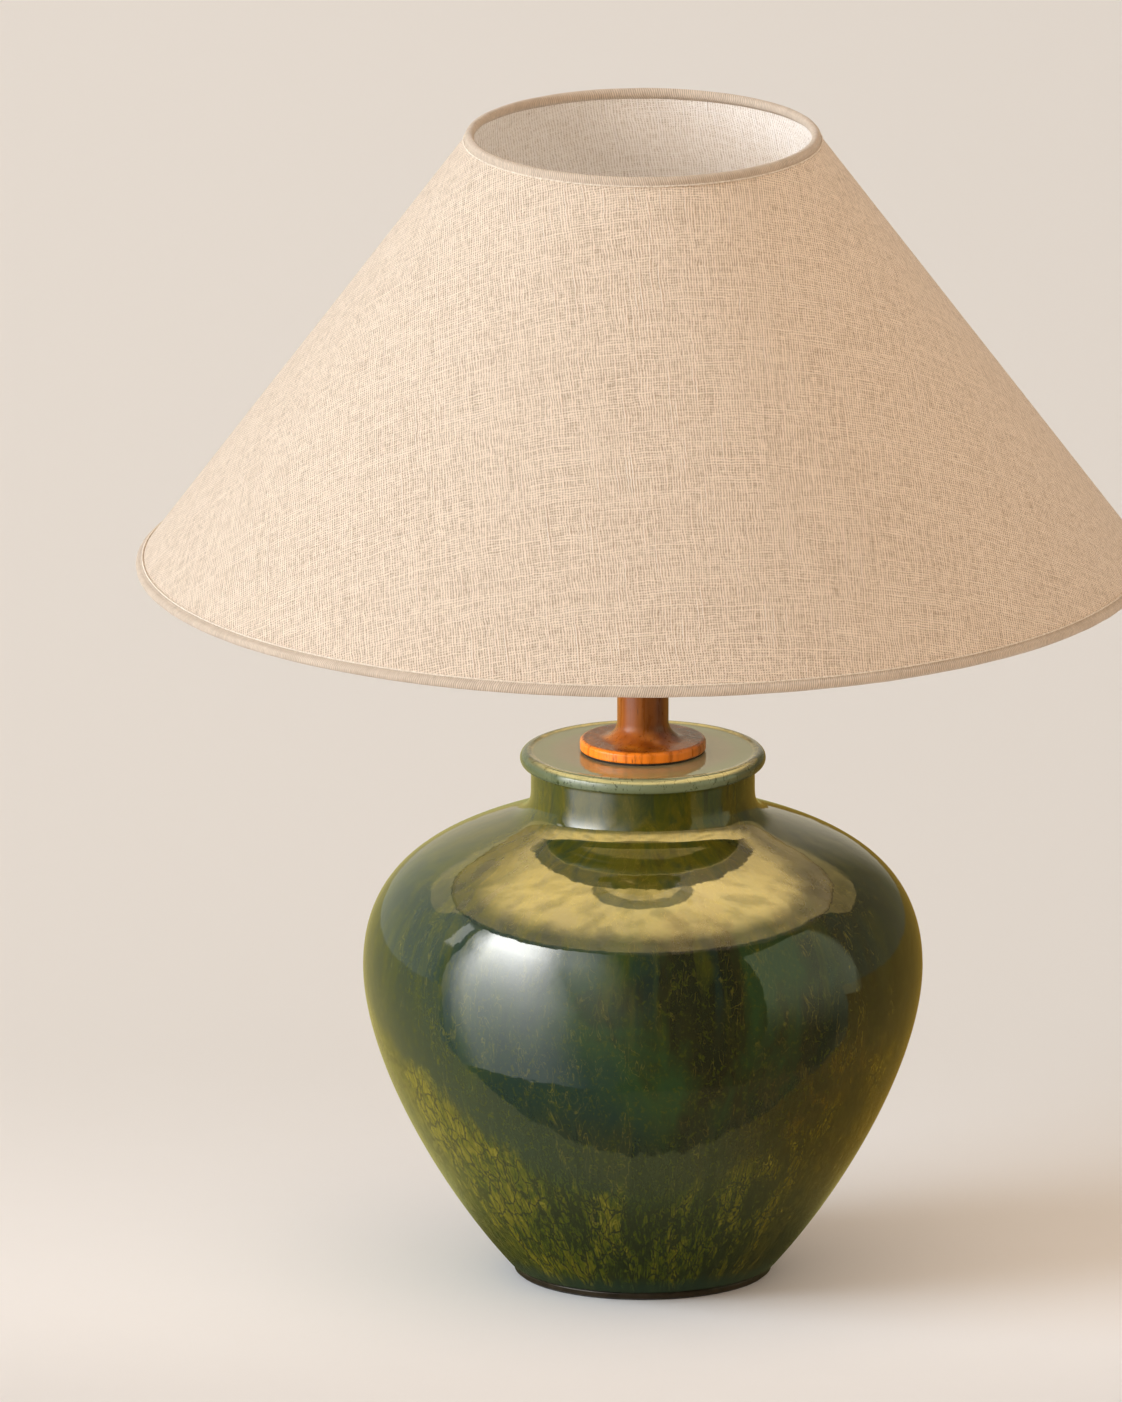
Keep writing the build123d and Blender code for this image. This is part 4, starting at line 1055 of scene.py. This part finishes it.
def onlyOn(lamp, *pieces):
    # keeps a lamp to some pieces
    lit = bpy.data.collections.new(lamp.name + "Takes")
    for piece in pieces:
        lit.objects.link(piece)
    lamp.light_linking.receiver_collection = lit


def hang(name, light, place, turn, *unseenBy):
    lamp = stand(name, light)
    lamp.location = place
    lamp.rotation_euler = turn
    for ray in unseenBy:
        setattr(lamp, "visible_" + ray, False)
    return lamp


def makeKey(name, turn, rise, strength, spread, colour):
    key = bpy.data.lights.new(name, "SUN")
    key.energy = strength
    key.angle = math.radians(spread)
    key.color = colour
    down = (-aimed(turn, rise)).to_track_quat("-Z", "Y").to_euler()
    return hang(name, key, (0, 0, 0), down, "glossy")


def glossLamp(name, width, height, place, turn, look):
    # an area lamp that lights nothing and is only mirrored, its brightness drawn by nodes
    light = bpy.data.lights.new(name, "AREA")
    light.shape = "RECTANGLE"
    light.size = width
    light.size_y = height
    light.color = look["colour"]
    light.energy = look["radiance"] * math.pi * width * height
    light.use_nodes = True
    hang(name, light, place, turn, "camera", "diffuse", "transmission")
    spot = put(light.node_tree, "NewGeometry").outputs["Position"]
    return light.node_tree, light.node_tree.nodes["Emission"], spot


def makeBox(name, look):
    middle = (look["from"] + look["to"]) / 2
    half = math.radians(look["to"] - look["from"]) / 2
    way = aimed(middle, 0)
    place = way * look["reach"] + Vector((0, 0, (look["low"] + look["high"]) / 2))
    turn = (-way).to_track_quat("-Z", "Y").to_euler()
    width = 2 * look["reach"] * math.tan(half)
    tree, lit, spot = glossLamp(name, width, look["high"] - look["low"], place, turn, look)
    x, y, z = parts(tree, spot)
    swing = calc(tree, "DEGREES", calc(tree, "ARCTAN2", x, times(tree, y, -1.0)))
    rise = calc(tree, "DEGREES", calc(tree, "ARCTAN2", less(tree, z, boxLevel), fromAxis(tree, spot)))
    return tree, lit, swing, rise


def makeLeftBox(look):
    # brightest high on the left, fading down and towards the front, a slanted bar across its far corner
    tree, lit, swing, rise = makeBox("leftBox", look)
    top = look["topRise"]
    fall = calc(tree, "POWER", look["fade"], less(tree, calc(tree, "MINIMUM", rise, top), top))
    lean = gain(tree, calc(tree, "MAXIMUM", rise, 0.0), 0.35, swing)
    front = calc(tree, "MAXIMUM", ease(tree, lean, -16.0, -50.0), ease(tree, lean, 8.0, -24.0, 0.0, 0.16))
    past = gain(tree, calc(tree, "MAXIMUM", less(tree, rise, 29.0), 0.0), 0.5, swing)
    edge = times(tree, ease(tree, past, -88.6, -87.6), ease(tree, past, -88.0, -73.0, 0.16, 1.0))
    level = times(tree, times(tree, fall, front), edge)
    shard = times(tree, ease(tree, past, -92.6, -93.2), ease(tree, past, -100.0, -99.0, 0.0, 0.13))
    shard = times(tree, shard, times(tree, ease(tree, rise, 23.0, 25.0), ease(tree, rise, 42.0, 40.0)))
    feed(tree, lit.inputs["Strength"], calc(tree, "ADD", level, shard))


def makeRightBox(look):
    tree, lit, swing, rise = makeBox("rightBox", look)
    level = times(tree, ease(tree, rise, -22.0, 8.0, 0.06, 1.0), ease(tree, swing, 98.5, 94.0))
    feed(tree, lit.inputs["Strength"], level)


def makeGlow(look):
    # the shade's lit underside: gold, dimmer towards its rim, a hollow and a crescent before the holder
    low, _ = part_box("bottom_binding")
    width = 2 * look["backRadius"]
    tree, lit, spot = glossLamp("shadeGlow", width, width, (0, 0, low.z + 0.5 * mm), (0, 0, 0), look)
    x, y, _ = parts(tree, spot)
    flat = scaled(tree, spot, (1, 1, 0))

    def inside(middle, radius):
        off = vectors(tree, "DISTANCE", flat, (0, middle, 0))["Value"]
        return ease(tree, less(tree, off, radius), look["soft"], -look["soft"])

    reach = fromAxis(tree, spot)
    edge = ease(tree, y, -0.02, 0.09, look["radius"], look["backRadius"])
    within = ease(tree, less(tree, reach, edge), 0.002, -0.002)
    within = times(tree, within, ease(tree, y, 0.190, 0.160))
    level = times(tree, ease(tree, reach, 0.108, 0.160, 1.0, 0.22), ease(tree, y, -0.04, 0.08, 1.0, 0.45))
    hollow = inside(*look["hollow"])
    crescent = times(tree, inside(*look["crescent"]), less(tree, 1.0, hollow))
    level = times(tree, level, mix(tree, (crescent, -0.80), (hollow, -0.38), (1.0, 1.0)))
    spoke = scaled(tree, vectors(tree, "NORMALIZE", flat)[0], (1.8, 1.8, 0))
    streak = cloud(tree, shifted(tree, spoke, scaled(tree, spot, (20, 20, 0))), 1.0, 4, 0.5)
    level = times(tree, level, ease(tree, streak, 0.36, 0.60, 0.76, 1.18))
    square = times(tree, x, x)
    bow = mix(tree, (square, 7.5), (times(tree, square, square), 1200.0))
    ragged = times(tree, less(tree, cloud(tree, spot, 130, 3, 0.6), 0.5), 0.012)
    dark = ease(tree, less(tree, calc(tree, "ADD", y, ragged), less(tree, bow, 0.025)), -0.001, 0.001)
    dark = times(tree, dark, ease(tree, y, 0.100, 0.080))
    level = times(tree, level, gain(tree, dark, -0.97, 1.0))
    feed(tree, lit.inputs["Strength"], times(tree, level, within))
    onlyOn(bpy.data.objects["shadeGlow"], bpy.data.objects["vaseBody"])


def makeThrough(name, radius, place, lean, radiance, colour):
    light = bpy.data.lights.new(name, "AREA")
    light.shape = "DISK"
    light.size = 2 * radius
    light.color = colour
    light.energy = radiance * math.pi * math.pi * radius ** 2
    turn = (math.radians(lean[0]), math.radians(lean[1]), 0)
    return hang(name, light, place, turn, "camera", "glossy", "transmission")


def makeWorld(look):
    world = bpy.data.worlds.new("studioAir")
    scene.world = world
    world.use_nodes = True
    tree = world.node_tree
    tree.nodes.clear()
    x, y, _ = parts(tree, put(tree, "TexCoord").outputs["Generated"])
    behind = blend(tree, ease(tree, x, -0.40, -0.05), look["leftGloss"], look["midGloss"])
    behind = blend(tree, ease(tree, x, 0.08, 0.40), behind, look["rightGloss"])
    seen = blend(tree, ease(tree, y, -0.10, 0.25), look["aheadGloss"], behind)
    gloss = put(tree, "Background", {"Color": seen, "Strength": 1.0}).outputs[0]
    lean = mix(tree, (y, -look["frontBias"]), (x, look["rightBias"]), (1.0, 1.0))
    level = times(tree, lean, look["strength"])
    fill = put(tree, "Background", {"Color": look["colour"], "Strength": level}).outputs[0]
    air = either(tree, mirrored(tree), fill, gloss)
    put(tree, "OutputWorld", {"Surface": air})


for name in ("keySun", "lowSun"):
    makeKey(name, *keyLooks[name])
for name in ("neckSun", "rimSun"):
    onlyOn(makeKey(name, *keyLooks[name]), nodes["wooden_neck"])
onlyOn(makeKey("liningSun", *keyLooks["liningSun"]), linerCone)
makeWorld(fillLook)
makeLeftBox(boxLooks["leftBox"])
makeRightBox(boxLooks["rightBox"])
makeGlow(glowLook)
makeThrough("throughTop", *throughLooks["throughTop"])
onlyOn(makeThrough("throughDown", *throughLooks["throughDown"]), bpy.data.objects["vaseBody"])
onlyOn(makeThrough("upperSoft", *throughLooks["upperSoft"]), linenCone)
footSoft = makeThrough("footSoft", *throughLooks["footSoft"])
footSoft.data.use_shadow = False
onlyOn(footSoft, bpy.data.objects["studioFloor"])
print("lights set")


# camera: the photograph has no perspective, seen from 14.85 degrees above level
cameraLook = {"rise": 14.85, "aim": Vector((-0.0323, 0, 0.2314)), "standOff": 2.0, "height": 0.5531}


def makeCamera(look):
    eye = bpy.data.cameras.new("photoCamera")
    eye.type = "ORTHO"
    eye.ortho_scale = look["height"]
    camera = stand("photoCamera", eye)
    away = aimed(0, look["rise"])
    camera.location = look["aim"] + away * look["standOff"]
    camera.rotation_euler = (-away).to_track_quat("-Z", "Y").to_euler()
    scene.camera = camera


makeCamera(cameraLook)
scene.view_settings.view_transform = "Standard"
print("camera placed")
